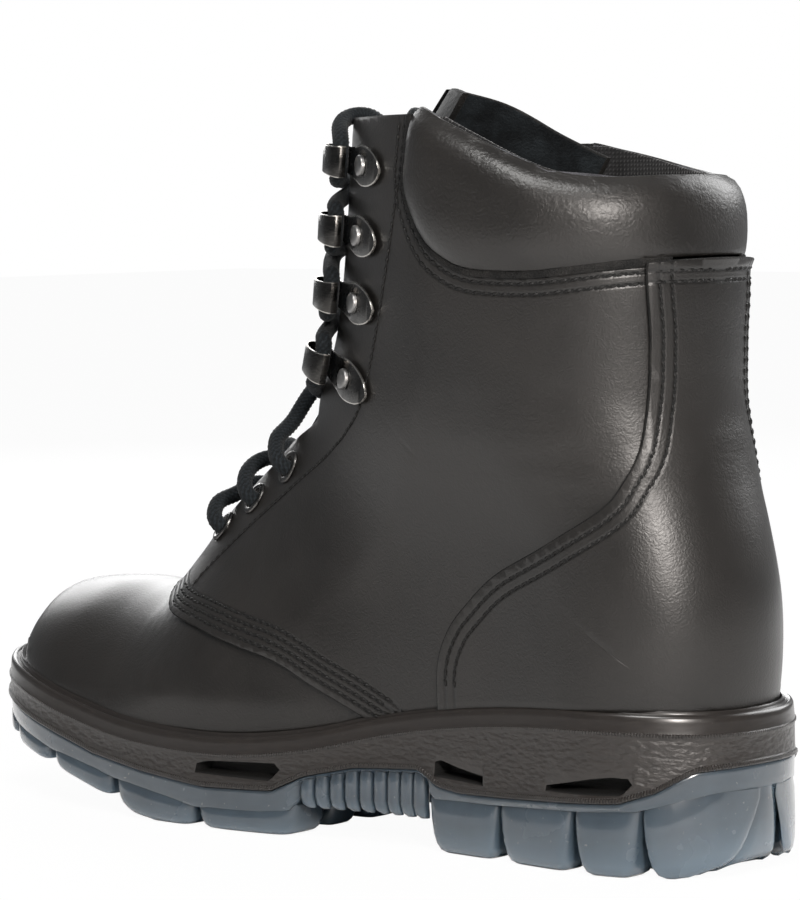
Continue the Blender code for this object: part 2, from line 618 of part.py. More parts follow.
def on_last(place, y):
    """Point and outward normal of the last at a length along the ridge and a sideways distance y."""
    def point(length, across):
        at = np.array([np.interp(length, ridge_at, ridge_line[:, k]) for k in (0, 1)])
        ahead = np.array([np.interp(length + 1, ridge_at, ridge_line[:, k]) for k in (0, 1)])
        behind = np.array([np.interp(length - 1, ridge_at, ridge_line[:, k]) for k in (0, 1)])
        run = (ahead - behind) / np.linalg.norm(ahead - behind)
        inward = np.array([-run[1], run[0]])
        side = -1.0 if across < 0 else 1.0
        line = at + TRACE[:, None] * inward
        width = half_width(side, line[:, 0], line[:, 1])
        width[0] = 0
        drop = np.interp(abs(across), width, TRACE)
        a, z = at + drop * inward
        return np.array([HALF_LENGTH - a, across, z])
    along = point(place + 1.5, y) - point(place - 1.5, y)
    aside = point(place, y + 1.5) - point(place, y - 1.5)
    out = np.cross(aside, along)
    out /= np.linalg.norm(out)
    if out[0] > 0:
        out = -out
    return point(place, y), out


def lifted(place, y, off):
    point, out = on_last(place, y)
    return point + out * off


def turned(name, place, y, profile, sides, *look):
    """Ring or cap turned about the leather's normal; profile is a closed or axis-ended run of (r, off)."""
    centre, out = on_last(place, y)
    up = lifted(place + 2, y, 0) - lifted(place - 2, y, 0)
    across = np.cross(out, up)
    across /= np.linalg.norm(across)
    up = np.cross(across, out)
    capped = profile[0][0] == 0
    points = []
    for k in range(sides):
        turn = 2 * math.pi * k / sides
        for r, off in profile:
            points.append(centre + out * off + (across * math.cos(turn) + up * math.sin(turn)) * r)
    n = len(profile)
    faces = []
    for k in range(sides):
        m = (k + 1) % sides
        for i in range(n - 1 if capped else n):
            j = (i + 1) % n
            faces.append([k * n + i, m * n + i, m * n + j, k * n + j])
    mesh = mesh_of(name, points, faces)
    work = bmesh.new()
    work.from_mesh(mesh)
    bmesh.ops.recalc_face_normals(work, faces=work.faces)
    work.to_mesh(mesh)
    work.free()
    return finish(name, mesh, *look)


FACE = GAP + LEATHER - 0.2       # outer face of the quarter above the last
INSIDE = -3.6                    # inner face of the lining


def cut_hole(obj, place, y, radius):
    """Round hole through the facing for an eyelet's barrel."""
    cutter = turned(f"hole_{obj.name}_{place:.0f}", place, y,
                    [(0, 6.0), (radius, 6.0), (radius, -8.0), (0, -8.0)], 10, (0.5, 0.5, 0.5), 0.5)
    cutter.hide_render = True
    cutter.display_type = "WIRE"
    cut = obj.modifiers.new(cutter.name, "BOOLEAN")
    cut.operation = "DIFFERENCE"
    cut.object = cutter


def build_eyelets():
    """Three eyelets on each facing, numbered from the toe."""
    ring = [(EYELET_HOLE, FACE + 1.3), (EYELET_FLANGE, FACE + 1.1), (EYELET_FLANGE, FACE + 0.5),
            (EYELET_BARREL, FACE + 0.5), (EYELET_BARREL, INSIDE - 0.7), (EYELET_HOLE, INSIDE - 0.7)]
    for side, word in ((-1, "left"), (1, "right")):
        layers = [bpy.data.objects[f"{layer}_{word}"] for layer in ("quarter", "facing_stay", "quarter_lining")]
        for row, (place, y) in enumerate(EYELET_ROWS, 1):
            turned(f"eyelet_{word}_{row}", place, side * y, ring, 10, *GUNMETAL)
            for layer in layers:
                cut_hole(layer, place, side * y, EYELET_BARREL + 0.5)


HOOK_RUN = [(6.0, 3.6), (-5.0, 3.6), (-9.3, 4.1), (-12.2, 6.0), (-13.0, 8.7), (-11.2, 11.2), (-7.6, 11.7)]


def build_hooks():
    """Four speed hooks on each facing with their rivets, numbered from the ankle up."""
    run = np.array(HOOK_RUN)
    way = np.gradient(run, axis=0)
    way /= np.linalg.norm(way, axis=1)[:, None]
    normal = np.stack([-way[:, 1], way[:, 0]], 1)
    cap = [(0, 4.6), (RIVET_RADIUS, 4.6), (RIVET_RADIUS, 5.3), (RIVET_RADIUS * 0.62, 6.2), (0, 6.5)]
    for side, word in ((-1, "left"), (1, "right")):
        for row, (place, y) in enumerate(HOOK_ROWS, 1):
            points = []
            for (dy, off), (ny, noff) in zip(run, normal):
                for along, face in ((-1, -1), (1, -1), (1, 1), (-1, 1)):
                    points.append(lifted(place + along * HOOK_WIDTH / 2,
                                         side * (y + dy + face * ny * HOOK_METAL / 2),
                                         off + face * noff * HOOK_METAL / 2))
            faces = [[0, 1, 2, 3], [4 * len(run) - 1 - i for i in range(4)]]
            for k in range(len(run) - 1):
                for i in range(4):
                    m = (i + 1) % 4
                    faces.append([4 * k + i, 4 * k + 4 + i, 4 * k + 4 + m, 4 * k + m])
            work = mesh_from(points, faces)
            bmesh.ops.recalc_face_normals(work, faces=work.faces)
            finish(f"hook_{word}_{row}", closed(work, "hook"), *GUNMETAL)
            turned(f"rivet_{word}_{row}", place, side * y, cap, 10, (0.42, 0.42, 0.42), 0.35, 1.0)


def lace_route():
    """Points of the lace as (place, y, off), from its left end down to the toe and up to its right end."""
    left, right = [], []
    for chain, mirror, over in ((left, -1, True), (right, 1, False)):
        # tucked end, over the top of the facing, to the top hook
        chain += [(240, 31, -7.6), (250, 29, -7.6), (259, 23.5, -7.6), (264.5, 17, -6.4), (266.5, 13.6, -2.5),
                  (266, 13.8, 2.5), (263.5, 17.5, 6.2)]
        chain[:] = [(p, mirror * v, off) for p, v, off in chain]
        s = mirror
        for row in (3, 2, 1, 0):
            place, y_rivet = HOOK_ROWS[row]
            y = y_rivet - 8.5
            chain += [(place + 4.5, s * y, 6.9), (place - 4.5, s * y, 6.9)]
            # the chain that starts on the left crosses above the other one
            middle = 4.3 if over else -1.0
            away = 4.7 if over else 1.0
            if row:
                low, high = HOOK_ROWS[row - 1][0] + 6.8, place - 6.8
                chain += [(high, s * 20, 6.5), (high - 2.0, s * 8, away), ((low + high) / 2, 0, middle),
                          (low + 2.0, -s * 8, away), (low, -s * 20, 6.5)]
            else:
                eye, y_eye = EYELET_ROWS[2]
                chain += [(place - 8, s * 19.5, 6.3), ((place + eye) / 2 + 2, s * 8, away),
                          ((place + eye) / 2 - 1, 0, middle), (eye + 6, -s * 9, 4.6 if over else 3.8),
                          (eye + 2.0, -s * (y_eye - 5.0), 7.6)]
            s = -s
        for row in (2, 1, 0):
            place, y = EYELET_ROWS[row]
            chain += [(place, s * y, 5.2), (place, s * y, -6.2)]
            if row:
                below, y_below = EYELET_ROWS[row - 1]
                chain += [(place - 1.5, s * (y - 5.0), -8.2), (place - 5, s * 7.5, -6.6),
                          ((place + below) / 2, 0, 2.3 if over else -3.0),
                          (below + 5.5, -s * 7.5, 4.6), (below + 2, -s * (y_below - 5.0), 7.6)]
            s = -s
    first, y_first = EYELET_ROWS[0]
    return left + [(first - 1.5, -12, -8.2), (first - 3, 0, -8.2), (first - 1.5, 12, -8.2)] + right[::-1]


AGLET_LENGTH = 18.0


def build_lace():
    """One lace along its whole route, with an aglet on each end."""
    route = lace_route()
    points = np.array([lifted(*p) for p in route])
    smooth = [points[0]]
    ext = np.vstack([2 * points[0] - points[1], points, 2 * points[-1] - points[-2]])
    for k in range(len(points) - 1):
        a, b, c, d = ext[k:k + 4]
        n = 2 if np.linalg.norm(c - b) > 16 else 1
        for t in (np.arange(n) + 1) / n:
            smooth.append(0.5 * (2 * b + (c - a) * t + (2 * a - 5 * b + 4 * c - d) * t ** 2
                                 + (3 * b - a - 3 * c + d) * t ** 3))
    data = bpy.data.curves.new("lace", "CURVE")
    data.dimensions = "3D"
    data.bevel_depth = LACE_DIAMETER / 2 * MM
    data.bevel_resolution = 2
    data.use_fill_caps = True
    spline = data.splines.new("POLY")
    spline.points.add(len(smooth) - 1)
    for k, p in enumerate(smooth):
        spline.points[k].co = (*(p * MM), 1)
    lace = bpy.data.objects.new("lace", data)
    bpy.context.scene.collection.objects.link(lace)
    material = bpy.data.materials.new("lace_finish")
    material.diffuse_color = (0.015, 0.018, 0.03, 1)
    data.materials.append(material)
    for word, end, before in (("left", smooth[0], smooth[1]), ("right", smooth[-1], smooth[-2])):
        way = (end - before) / np.linalg.norm(end - before)
        side = np.cross(way, (0, 0, 1.0))
        side /= np.linalg.norm(side)
        third = np.cross(side, way)
        ring = []
        for along in (GAP, AGLET_LENGTH):
            for k in range(8):
                turn = 2 * math.pi * k / 8
                ring.append(end + way * along + (side * math.cos(turn) + third * math.sin(turn)) * 1.9)
        faces = [list(range(8)), list(range(8, 16))]
        faces += [[k, (k + 1) % 8, 8 + (k + 1) % 8, 8 + k] for k in range(8)]
        work = mesh_from(ring, faces)
        bmesh.ops.recalc_face_normals(work, faces=work.faces)
        finish("aglet_" + word, closed(work, "aglet"), (0.02, 0.02, 0.022), 0.3)


build_vamp()
build_quarters()
build_heel()
build_collar()
build_tongue()
build_outsole()
build_midsole()
build_inside()
build_eyelets()
build_hooks()
build_lace()
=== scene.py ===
import math

import bmesh
import bpy
import numpy as np
from mathutils import Matrix, Vector, noise

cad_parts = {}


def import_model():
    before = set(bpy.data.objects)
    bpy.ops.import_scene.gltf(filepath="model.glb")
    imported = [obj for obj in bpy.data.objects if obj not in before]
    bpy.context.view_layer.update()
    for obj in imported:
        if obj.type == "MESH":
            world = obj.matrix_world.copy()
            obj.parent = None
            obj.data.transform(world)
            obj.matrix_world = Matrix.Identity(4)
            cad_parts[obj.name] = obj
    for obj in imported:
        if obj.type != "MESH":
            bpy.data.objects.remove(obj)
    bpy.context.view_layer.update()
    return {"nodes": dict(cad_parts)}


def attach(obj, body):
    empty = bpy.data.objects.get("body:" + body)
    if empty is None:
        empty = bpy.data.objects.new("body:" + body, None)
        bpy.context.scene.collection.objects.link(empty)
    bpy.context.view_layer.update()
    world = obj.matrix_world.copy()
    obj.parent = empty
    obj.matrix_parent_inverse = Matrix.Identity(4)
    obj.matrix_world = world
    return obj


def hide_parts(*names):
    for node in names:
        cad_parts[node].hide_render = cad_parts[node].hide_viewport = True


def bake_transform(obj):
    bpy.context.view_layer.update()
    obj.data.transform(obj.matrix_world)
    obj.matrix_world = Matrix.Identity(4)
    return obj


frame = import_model()

MM = 0.001

SOLE_LENGTH = 312.0
HALF_LENGTH = SOLE_LENGTH / 2
SNAP = 0.05                      # a point this near to a cut line is moved onto it
OVERLAY = 1.8                    # the last sits this far inside the quarters' outer face

# Inner and outer face of each sheet, as distances out from the last.
VAMP_FACES = (-1.9, 0.0)
QUARTER_FACES = (0.3, 2.1)
BACKSTAY_FACES = (2.3, 4.1)
STRIP_FACES = (2.0, 2.9)
LINING_FACES = (-3.6, -2.2)
GUSSET_FACES = (-5.5, -4.3)
COLLAR_LEATHER = 1.3             # thickness of the soft leather round the padding
TONGUE_LEATHER = 2.4
THROAT_DEPTH = 34.0              # how far down from the ridge the lacing gap reaches

# The last: side-view lines of the upper's outer surface, as (a, z).
RIDGE = [(307, 49), (308, 56), (304, 64), (293, 70.5), (270, 73), (249, 72.5), (236, 75.5), (227, 85.5),
         (216, 99), (203, 112), (190, 125), (178, 141), (170, 163), (165, 190), (161, 215), (157, 243)]
# Stations of the last and the sole, each a list of (position, value).
BACK = [(44, 10), (60, 8.2), (80, 8.2), (100, 12), (118, 17), (139, 21), (158, 21), (176, 20.5),
        (195, 22), (216, 25)]                                           # z: a of the back seam
FEATHER = [(0, 47.5), (30, 48.5), (60, 47.5), (90, 44.5), (120, 39.5), (145, 33.5), (170, 30), (200, 29.5),
           (230, 32), (250, 36), (280, 43), (312, 48)]                  # a: top of the midsole
SPLIT = [(0, 33), (8, 32), (17, 26), (27, 22.5), (71, 20.2), (88, 19.8), (97, 21), (105, 25.5), (130, 24),
         (148, 20), (160, 14.5), (187, 13.9), (213, 16.4), (237, 20), (261, 26.4), (285, 32), (312, 37)]
TREAD = [(0, 6), (12, 0), (98, 0), (101, 0), (150, 0), (215, 0), (237, 7), (260, 13.5), (285, 19),
         (312, 25)]                                                     # a: lowest points of the lugs
OUTER = [(0, 37), (45, 37.5), (90, 36), (120, 37), (150, 43.5), (185, 50), (215, 51), (250, 50), (312, 48)]
INNER = [(0, 37), (45, 36.5), (85, 33), (115, 30), (145, 35), (180, 45), (215, 51), (250, 49), (312, 46)]
SHAFT = [(60, 36), (100, 39), (139, 45), (170, 47), (200, 48), (245, 48)]   # z: half width of the shaft
SHOULDER = [(0, 24), (40, 28), (70, 36), (110, 58), (150, 68), (190, 74), (300, 74)]
FULLNESS = [(0, 2.0), (60, 2.0), (95, 1.8), (150, 1.5), (300, 1.5)]
HEEL_ROUND = [(44, 40), (90, 42), (140, 58), (220, 62)]
TOE_TIP = 308.5

# Pattern lines of the upper, as (a, z) in side view.
QUARTER_EDGE = [(228, 70), (219, 66.5), (199, 63.3), (178, 59), (163, 55.5), (149, 49), (136, 43), (122, 36)]
VAMP_EDGE = [(238, 80), (226, 76), (212, 75), (198, 72.5), (182, 68), (166, 64), (151, 58), (137, 52),
             (122, 45), (110, 36)]
BACKSTAY_EDGE = [(98, 40), (98, 58), (93.5, 69.5), (86, 78), (73.5, 88), (52.5, 98.5), (36, 109), (31, 117.5),
                 (28.5, 126), (28, 140), (27.2, 165), (28, 190)]
COLLAR_EDGE = [(94, 260), (97.5, 236), (100.5, 217), (101.5, 208), (99, 200.5), (92.5, 190.5), (84.5, 184.5),
               (75, 181.2), (57, 180.3), (44.5, 181.3), (30, 183), (14, 184.5)]
COLLAR_TOP = [(200, 239), (120, 235), (99, 231), (91.5, 228.5), (77, 222.5), (63, 216), (53, 211.8),
              (44, 209.2), (34, 208.3), (26, 208.8), (14, 209.5)]
COLLAR_TOP_INNER = [(200, 229), (120, 224), (99, 219.5), (91.5, 217.5), (77, 214.5), (63, 211.5), (53, 209.8),
                    (44, 208.8), (34, 208.3), (26, 208.8), (14, 209.5)]
STAY_LINE = [(99, 232), (106, 207), (112, 187), (119, 165), (128, 140), (137, 130), (147, 123), (171, 108.6),
             (191, 94.5), (207, 80.5), (214, 70)]
THROAT_HALF = [(60, 8), (85, 10), (120, 13), (140, 17), (160, 19), (215, 18), (245, 17)]   # z: half gap
BACKSTAY_TOP = 183.5
FACING_TOP = 228.0

# Places along the ridge (mm from the toe) and half widths of the lacing.
EYELET_ROWS = [(118.0, 17.0), (137.0, 18.0), (156.0, 19.5)]
HOOK_ROWS = [(191.0, 31.0), (211.0, 31.0), (232.0, 31.0), (253.5, 31.5)]

# ---------------------------------------------------------------- curves and the last
def through(stations, x):
    """Smooth value at x through a few (position, value) stations."""
    px, py = np.array(stations, float).T
    slope = np.gradient(py, px)
    x = np.asarray(x, float)
    i = np.clip(np.searchsorted(px, x) - 1, 0, len(px) - 2)
    h = px[i + 1] - px[i]
    t = np.clip((x - px[i]) / h, 0, 1)
    return ((1 + 2 * t) * (1 - t) ** 2 * py[i] + t * (1 - t) ** 2 * h * slope[i]
            + t * t * (3 - 2 * t) * py[i + 1] + t * t * (t - 1) * h * slope[i + 1])


def curve(points, step=3.0):
    """Smooth line through a few points, as a dense run of points."""
    p = np.array(points, float)
    ext = np.vstack([2 * p[0] - p[1], p, 2 * p[-1] - p[-2]])
    out = []
    for k in range(len(p) - 1):
        a, b, c, d = ext[k:k + 4]
        n = max(2, int(np.linalg.norm(c - b) / step))
        t = (np.arange(n) / n)[:, None]
        out.append(0.5 * (2 * b + (c - a) * t + (2 * a - 5 * b + 4 * c - d) * t ** 2
                          + (3 * b - a - 3 * c + d) * t ** 3))
    return np.vstack(out + [p[-1:]])


def lengths(line):
    """Length along a line at each of its points."""
    return np.concatenate([[0], np.cumsum(np.linalg.norm(np.diff(line, axis=0), axis=1))])


def nearest(line, a, z):
    """Signed distance from places (a, z) to a line, positive on its left, and the length along it."""
    q = np.stack([np.ravel(a), np.ravel(z)], 1)
    start = line[:-1]
    step = np.diff(line, axis=0)
    size = np.linalg.norm(step, axis=1)
    along = lengths(line)
    best = np.full(len(q), 1e9)
    sign = np.ones(len(q))
    place = np.zeros(len(q))
    for k in range(len(start)):
        w = q - start[k]
        t = np.clip(w @ step[k] / size[k] ** 2, 0, 1)
        away = np.linalg.norm(w - t[:, None] * step[k], axis=1)
        hit = away < best - 1e-9
        best[hit] = away[hit]
        sign[hit] = np.sign(step[k][0] * w[hit, 1] - step[k][1] * w[hit, 0])
        place[hit] = along[k] + t[hit] * size[k]
    shape = np.shape(a)
    return (best * sign).reshape(shape), place.reshape(shape)


def round_off(t, power=2.0):
    """Rises from 0 at an edge to 1 inside, as a rounded shoulder."""
    t = np.clip(t, 0, 1)
    return (1 - (1 - t) ** power) ** (1 / power)


ridge_line = curve(RIDGE, 2.0)
ridge_at = lengths(ridge_line)


def half_width(side, a, z):
    """Half width of the upper at a side-view place; side is -1 outer, +1 inner."""
    plan = np.where(side < 0, through(OUTER, a), through(INNER, a))
    t = np.clip((z - 60) / 75, 0, 1)
    t = t * t * (3 - 2 * t)
    lean = 1 - 0.18 * np.clip((z - 42) / 40, 0, 1) * np.clip((a - 120) / 60, 0, 1)
    width = plan * lean * (1 - t) + through(SHAFT, z) * t - OVERLAY * np.clip((215 - a) / 60, 0, 1)
    drop, place = nearest(ridge_line, a, z)
    top = round_off(np.abs(drop) / through(SHOULDER, place), through(FULLNESS, place))
    back = round_off((a - through(BACK, z)) / through(HEEL_ROUND, z), 2.15)
    toe = round_off((TOE_TIP - a) / 56, 2.2)
    return width * top * back * toe


def world(side, a, z):
    """Point of the last in the boot's own axes, from its side-view place."""
    return np.stack([HALF_LENGTH - a, side * half_width(side, a, z), z], -1)


# ---------------------------------------------------------------- sheets cut from the last
LOW = np.vstack([[(a, float(through(FEATHER, a)) + 1.0) for a in np.arange(308, 10.6, -2.0)],
                 [(float(through(BACK, z)), z) for z in np.arange(49.0, 216.1, 2.0)]])
BACK_SEAM = lengths(np.array([(float(through(BACK, z)), z) for z in np.arange(49.0, 216.1, 2.0)]))[-1] + 0.1
LOW_MARKS = [(308, 49), (285, 45), (262, 39), (225, 33), (190, 31), (140, 36), (80, 46), (25, 49), (9, 50),
             (12, 100), (21, 150), (25, 216)]
RIDGE_MARKS = [(307, 49), (300, 67), (268, 73), (235, 76), (214, 101), (190, 125), (174, 150), (169, 168),
               (167, 178), (165, 190), (162, 208), (157, 243)]


def last_grid(lines, rows):
    """The upper's whole outer surface as triangles; columns of the data are a, z, x, y, z and the normal."""
    low_at = lengths(LOW)
    _, low_marks = nearest(LOW, *np.array(LOW_MARKS, float).T)
    _, ridge_marks = nearest(ridge_line, *np.array(RIDGE_MARKS, float).T)
    low_marks[0], low_marks[-1], ridge_marks[0], ridge_marks[-1] = 0, low_at[-1], 0, ridge_at[-1]
    outline = lengths(world(-1.0, LOW[:, 0], LOW[:, 1]))
    stations = np.interp(np.linspace(0, outline[-1], lines + 1), outline, low_at)
    fine = (1 - np.cos(np.pi * np.linspace(0, 1, 160))) / 2
    data, index = [], {}
    cells = {}
    for side in (-1.0, 1.0):
        for i, s in enumerate(stations):
            foot = np.array([np.interp(s, low_at, LOW[:, k]) for k in (0, 1)])
            r = np.interp(s, low_marks, ridge_marks)
            head = np.array([np.interp(r, ridge_at, ridge_line[:, k]) for k in (0, 1)])
            run = foot + (head - foot) * fine[:, None]
            place = world(side, run[:, 0], run[:, 1])
            place[-1, 1] = 0
            if s > low_at[-1] - BACK_SEAM:
                place[0, 1] = 0
            at = lengths(place)
            for j, u in enumerate(np.linspace(0, at[-1], rows + 1)):
                flat = [np.interp(u, at, run[:, k]) for k in (0, 1)]
                solid = [np.interp(u, at, place[:, k]) for k in (0, 1, 2)]
                key = tuple(np.round(solid, 1))
                if key not in index:
                    index[key] = len(data)
                    data.append(flat + solid)
                cells[side, i, j] = index[key]
    faces = []
    for side in (-1.0, 1.0):
        for i in range(lines):
            for j in range(rows):
                a, b, c, d = (cells[side, i + m, j + n] for m, n in ((0, 0), (1, 0), (1, 1), (0, 1)))
                for tri in ((a, b, c), (a, c, d)):
                    if len(set(tri)) == 3:
                        faces.append(list(tri if side < 0 else tri[::-1]))
    data = np.array(data)
    normal = np.zeros((len(data), 3))
    for face in faces:
        p = data[face, 2:5]
        across = np.cross(p[1] - p[0], p[2] - p[0])
        normal[face] += across
    normal /= np.linalg.norm(normal, axis=1)[:, None]
    return np.hstack([data, normal]), faces


def trim(sheet, rule):
    """Keep the part of a sheet where rule(a, z, y) is positive, cut cleanly along its zero line."""
    data, faces = sheet
    value = np.asarray(rule(data[:, 0], data[:, 1], data[:, 3]), float)
    value = np.where(np.abs(value) < SNAP, 0.0, value)
    rows = list(data)
    cut = {}
    kept = []
    for face in faces:
        if max(value[i] for i in face) <= 0:
            continue
        loop = []
        for i, j in zip(face, face[1:] + face[:1]):
            if value[i] >= 0:
                loop.append(i)
            if value[i] * value[j] < 0:
                lo, hi = min(i, j), max(i, j)
                if (lo, hi) not in cut:
                    t = value[lo] / (value[lo] - value[hi])
                    cut[lo, hi] = len(rows)
                    rows.append(rows[lo] * (1 - t) + rows[hi] * t)
                loop.append(cut[lo, hi])
        if len(loop) > 2:
            kept.append(loop)
    used = sorted({i for face in kept for i in face})
    place = {old: new for new, old in enumerate(used)}
    return np.array([rows[i] for i in used]), [[place[i] for i in face] for face in kept]


def beyond(line, margin=0.0, flip=1.0):
    """Rule: on the left of a pattern line (right with flip=-1), by more than margin."""
    dense = curve(line)
    return lambda a, z, y: flip * nearest(dense, a, z)[0] - margin


def left_of(side):
    """Rule: on one side of the boot."""
    return lambda a, z, y: side * y


def in_front(a, z, depth):
    """Positive within depth of the ridge, so only at the front of the upper."""
    return depth - np.abs(nearest(ridge_line, a, z)[0])


def under_collar_top(margin=0.0):
    """Rule: below the collar's top line, which is lower on the inner side."""
    outer, inner = beyond(COLLAR_TOP, margin), beyond(COLLAR_TOP_INNER, margin)
    return lambda a, z, y: np.where(y > 0, inner(a, z, y), outer(a, z, y))


def under_facing_top(a, z, y):
    """Height left under the facing's top edge, which slopes down to the collar on the inner side."""
    return FACING_TOP - z - np.where(y > 0, 1.5 + 7.5 * np.clip((155 - a) / 40, 0, 1), 0)


TONGUE_HALF = [(60, 20), (76, 23), (95, 30), (120, 35), (150, 38), (180, 40), (250, 40)]  # z: half width
TONGUE_TOP = [(-48, 226), (-38, 233), (-28, 236), (-12, 238), (0, 238.5), (14, 236.5), (27, 231), (38, 221),
              (48, 210)]                                           # y: top edge
TONGUE_FOOT = 231.0
TONGUE_DEEP = [(60, 11.0), (150, 11.0), (185, 12.8), (245, 12.8)]    # z: how far in its outer face lies


def tongue_edge(a, z, y):
    """Rule: inside the tongue's side edges, which are wider near its top on the inner side."""
    wider = np.where(y > 0, 6.0 * np.clip((z - 165) / 30, 0, 1), 0)
    return np.minimum(through(TONGUE_HALF, z) + wider - np.abs(y), in_front(a, z, 62.0))


def lean_back(points):
    """The free top of the tongue falls back into the shaft."""
    rise = np.clip((points[:, 2] - 195) / 45, 0, 2)
    curl = np.clip((points[:, 1] - 8) / 34, 0, 1) ** 1.6 * np.clip((points[:, 2] - 176) / 36, 0, 1)
    return np.stack([23.5 * rise ** 1.5 + 9 * curl, 0 * rise, 0 * rise], 1)


def plan(side, a, grow, start, end, heel=46.0, toe=60.0):
    """Half width of a flat outline that follows the sole."""
    width = through(OUTER if side < 0 else INNER, a) + grow
    return side * width * round_off((a - start) / heel, 2.15) * round_off((end - a) / toe, 2.2)


TRACE = np.linspace(0, 60, 121)


def on_last(place, y):
    """Point and outward normal of the last at a length along the ridge and a sideways distance y."""
    def point(length, across):
        at = np.array([np.interp(length, ridge_at, ridge_line[:, k]) for k in (0, 1)])
        ahead = np.array([np.interp(length + 1, ridge_at, ridge_line[:, k]) for k in (0, 1)])
        behind = np.array([np.interp(length - 1, ridge_at, ridge_line[:, k]) for k in (0, 1)])
        run = (ahead - behind) / np.linalg.norm(ahead - behind)
        inward = np.array([-run[1], run[0]])
        side = -1.0 if across < 0 else 1.0
        line = at + TRACE[:, None] * inward
        width = half_width(side, line[:, 0], line[:, 1])
        width[0] = 0
        drop = np.interp(abs(across), width, TRACE)
        a, z = at + drop * inward
        return np.array([HALF_LENGTH - a, across, z])
    along = point(place + 1.5, y) - point(place - 1.5, y)
    aside = point(place, y + 1.5) - point(place, y - 1.5)
    out = np.cross(aside, along)
    out /= np.linalg.norm(out)
    if out[0] > 0:
        out = -out
    return point(place, y), out


def lifted(place, y, off):
    """Point at a height above the last."""
    point, out = on_last(place, y)
    return point + out * off


def lace_route():
    """Points of the lace as (place, y, off), from its left end down to the toe and up to its right end."""
    left, right = [], []
    for chain, mirror, over in ((left, -1, True), (right, 1, False)):
        # tucked end, over the top of the facing, to the top hook
        chain += [(240, 31, -7.6), (250, 29, -7.6), (259, 23.5, -7.6), (264.5, 17, -6.4), (266.5, 13.6, -2.5),
                  (266, 13.8, 2.5), (263.5, 17.5, 6.2)]
        chain[:] = [(p, mirror * v, off) for p, v, off in chain]
        s = mirror
        for row in (3, 2, 1, 0):
            place, y_rivet = HOOK_ROWS[row]
            y = y_rivet - 8.5
            chain += [(place + 4.5, s * y, 6.9), (place - 4.5, s * y, 6.9)]
            # the chain that starts on the left crosses above the other one
            middle = 4.3 if over else -1.0
            away = 4.7 if over else 1.0
            if row:
                low, high = HOOK_ROWS[row - 1][0] + 6.8, place - 6.8
                chain += [(high, s * 20, 6.5), (high - 2.0, s * 8, away), ((low + high) / 2, 0, middle),
                          (low + 2.0, -s * 8, away), (low, -s * 20, 6.5)]
            else:
                eye, y_eye = EYELET_ROWS[2]
                chain += [(place - 8, s * 19.5, 6.3), ((place + eye) / 2 + 2, s * 8, away),
                          ((place + eye) / 2 - 1, 0, middle), (eye + 6, -s * 9, 4.6 if over else 3.8),
                          (eye + 2.0, -s * (y_eye - 5.0), 7.6)]
            s = -s
        for row in (2, 1, 0):
            place, y = EYELET_ROWS[row]
            chain += [(place, s * y, 5.2), (place, s * y, -6.2)]
            if row:
                below, y_below = EYELET_ROWS[row - 1]
                chain += [(place - 1.5, s * (y - 5.0), -8.2), (place - 5, s * 7.5, -6.6),
                          ((place + below) / 2, 0, 2.3 if over else -3.0),
                          (below + 5.5, -s * 7.5, 4.6), (below + 2, -s * (y_below - 5.0), 7.6)]
            s = -s
    first = EYELET_ROWS[0][0]
    return left + [(first - 1.5, -12, -8.2), (first - 3, 0, -8.2), (first - 1.5, 12, -8.2)] + right[::-1]


FAR = 1.0                        # a seam that is nowhere near, in metres
CHANNEL_HALF = 0.0011            # half width of the channel that a sewn row draws in, in metres

# ---------------------------------------------------------------- finishes
def material(name, **settings):
    """New material with its own Principled shader; settings are the shader's own values."""
    item = bpy.data.materials.new(name)
    item.use_nodes = True
    tree = item.node_tree
    shader = tree.nodes["Principled BSDF"]
    for key, value in settings.items():
        socket = shader.inputs[key.replace("_", " ")]
        socket.default_value = (*value, 1.0) if isinstance(value, tuple) and len(value) == 3 \
            and socket.type == "RGBA" else value
    return item, tree, shader


def node(tree, kind, **values):
    """New shader node with some of its own settings."""
    item = tree.nodes.new(kind)
    for key, value in values.items():
        setattr(item, key, value)
    return item


def feed(tree, socket, value):
    """Link another socket to a socket, or set its value."""
    if isinstance(value, bpy.types.NodeSocket):
        tree.links.new(value, socket)
    elif value is not None:
        socket.default_value = value


def maths(tree, operation, first, second=None):
    """Math node; first and second are sockets or numbers."""
    item = node(tree, "ShaderNodeMath", operation=operation)
    feed(tree, item.inputs[0], first)
    feed(tree, item.inputs[1], second)
    return item.outputs[0]


def plus(tree, first, second):
    return maths(tree, "ADD", first, second)


def times(tree, first, second):
    return maths(tree, "MULTIPLY", first, second)


def between(tree, value, low, high, to_low=0.0, to_high=1.0):
    """Value rescaled smoothly from low..high to another range."""
    item = node(tree, "ShaderNodeMapRange", interpolation_type="SMOOTHSTEP")
    for key, number in (("Value", value), ("From Min", low), ("From Max", high), ("To Min", to_low),
                        ("To Max", to_high)):
        feed(tree, item.inputs[key], number)
    return item.outputs["Result"]


def blend_colours(tree, mask, first, second):
    """Colour mixed by a mask; colours are tuples or sockets."""
    item = node(tree, "ShaderNodeMix", data_type="RGBA")
    feed(tree, item.inputs[0], mask)
    for slot, value in ((6, first), (7, second)):
        feed(tree, item.inputs[slot], (*value, 1) if isinstance(value, tuple) else value)
    return item.outputs[2]


def noise_of(tree, scale, detail=3.0, vector=None):
    """Noise texture; its Fac output is the height, its Color output three of them."""
    item = node(tree, "ShaderNodeTexNoise")
    item.inputs["Scale"].default_value = scale
    item.inputs["Detail"].default_value = detail
    feed(tree, item.inputs["Vector"], vector or place_of(tree))
    return item


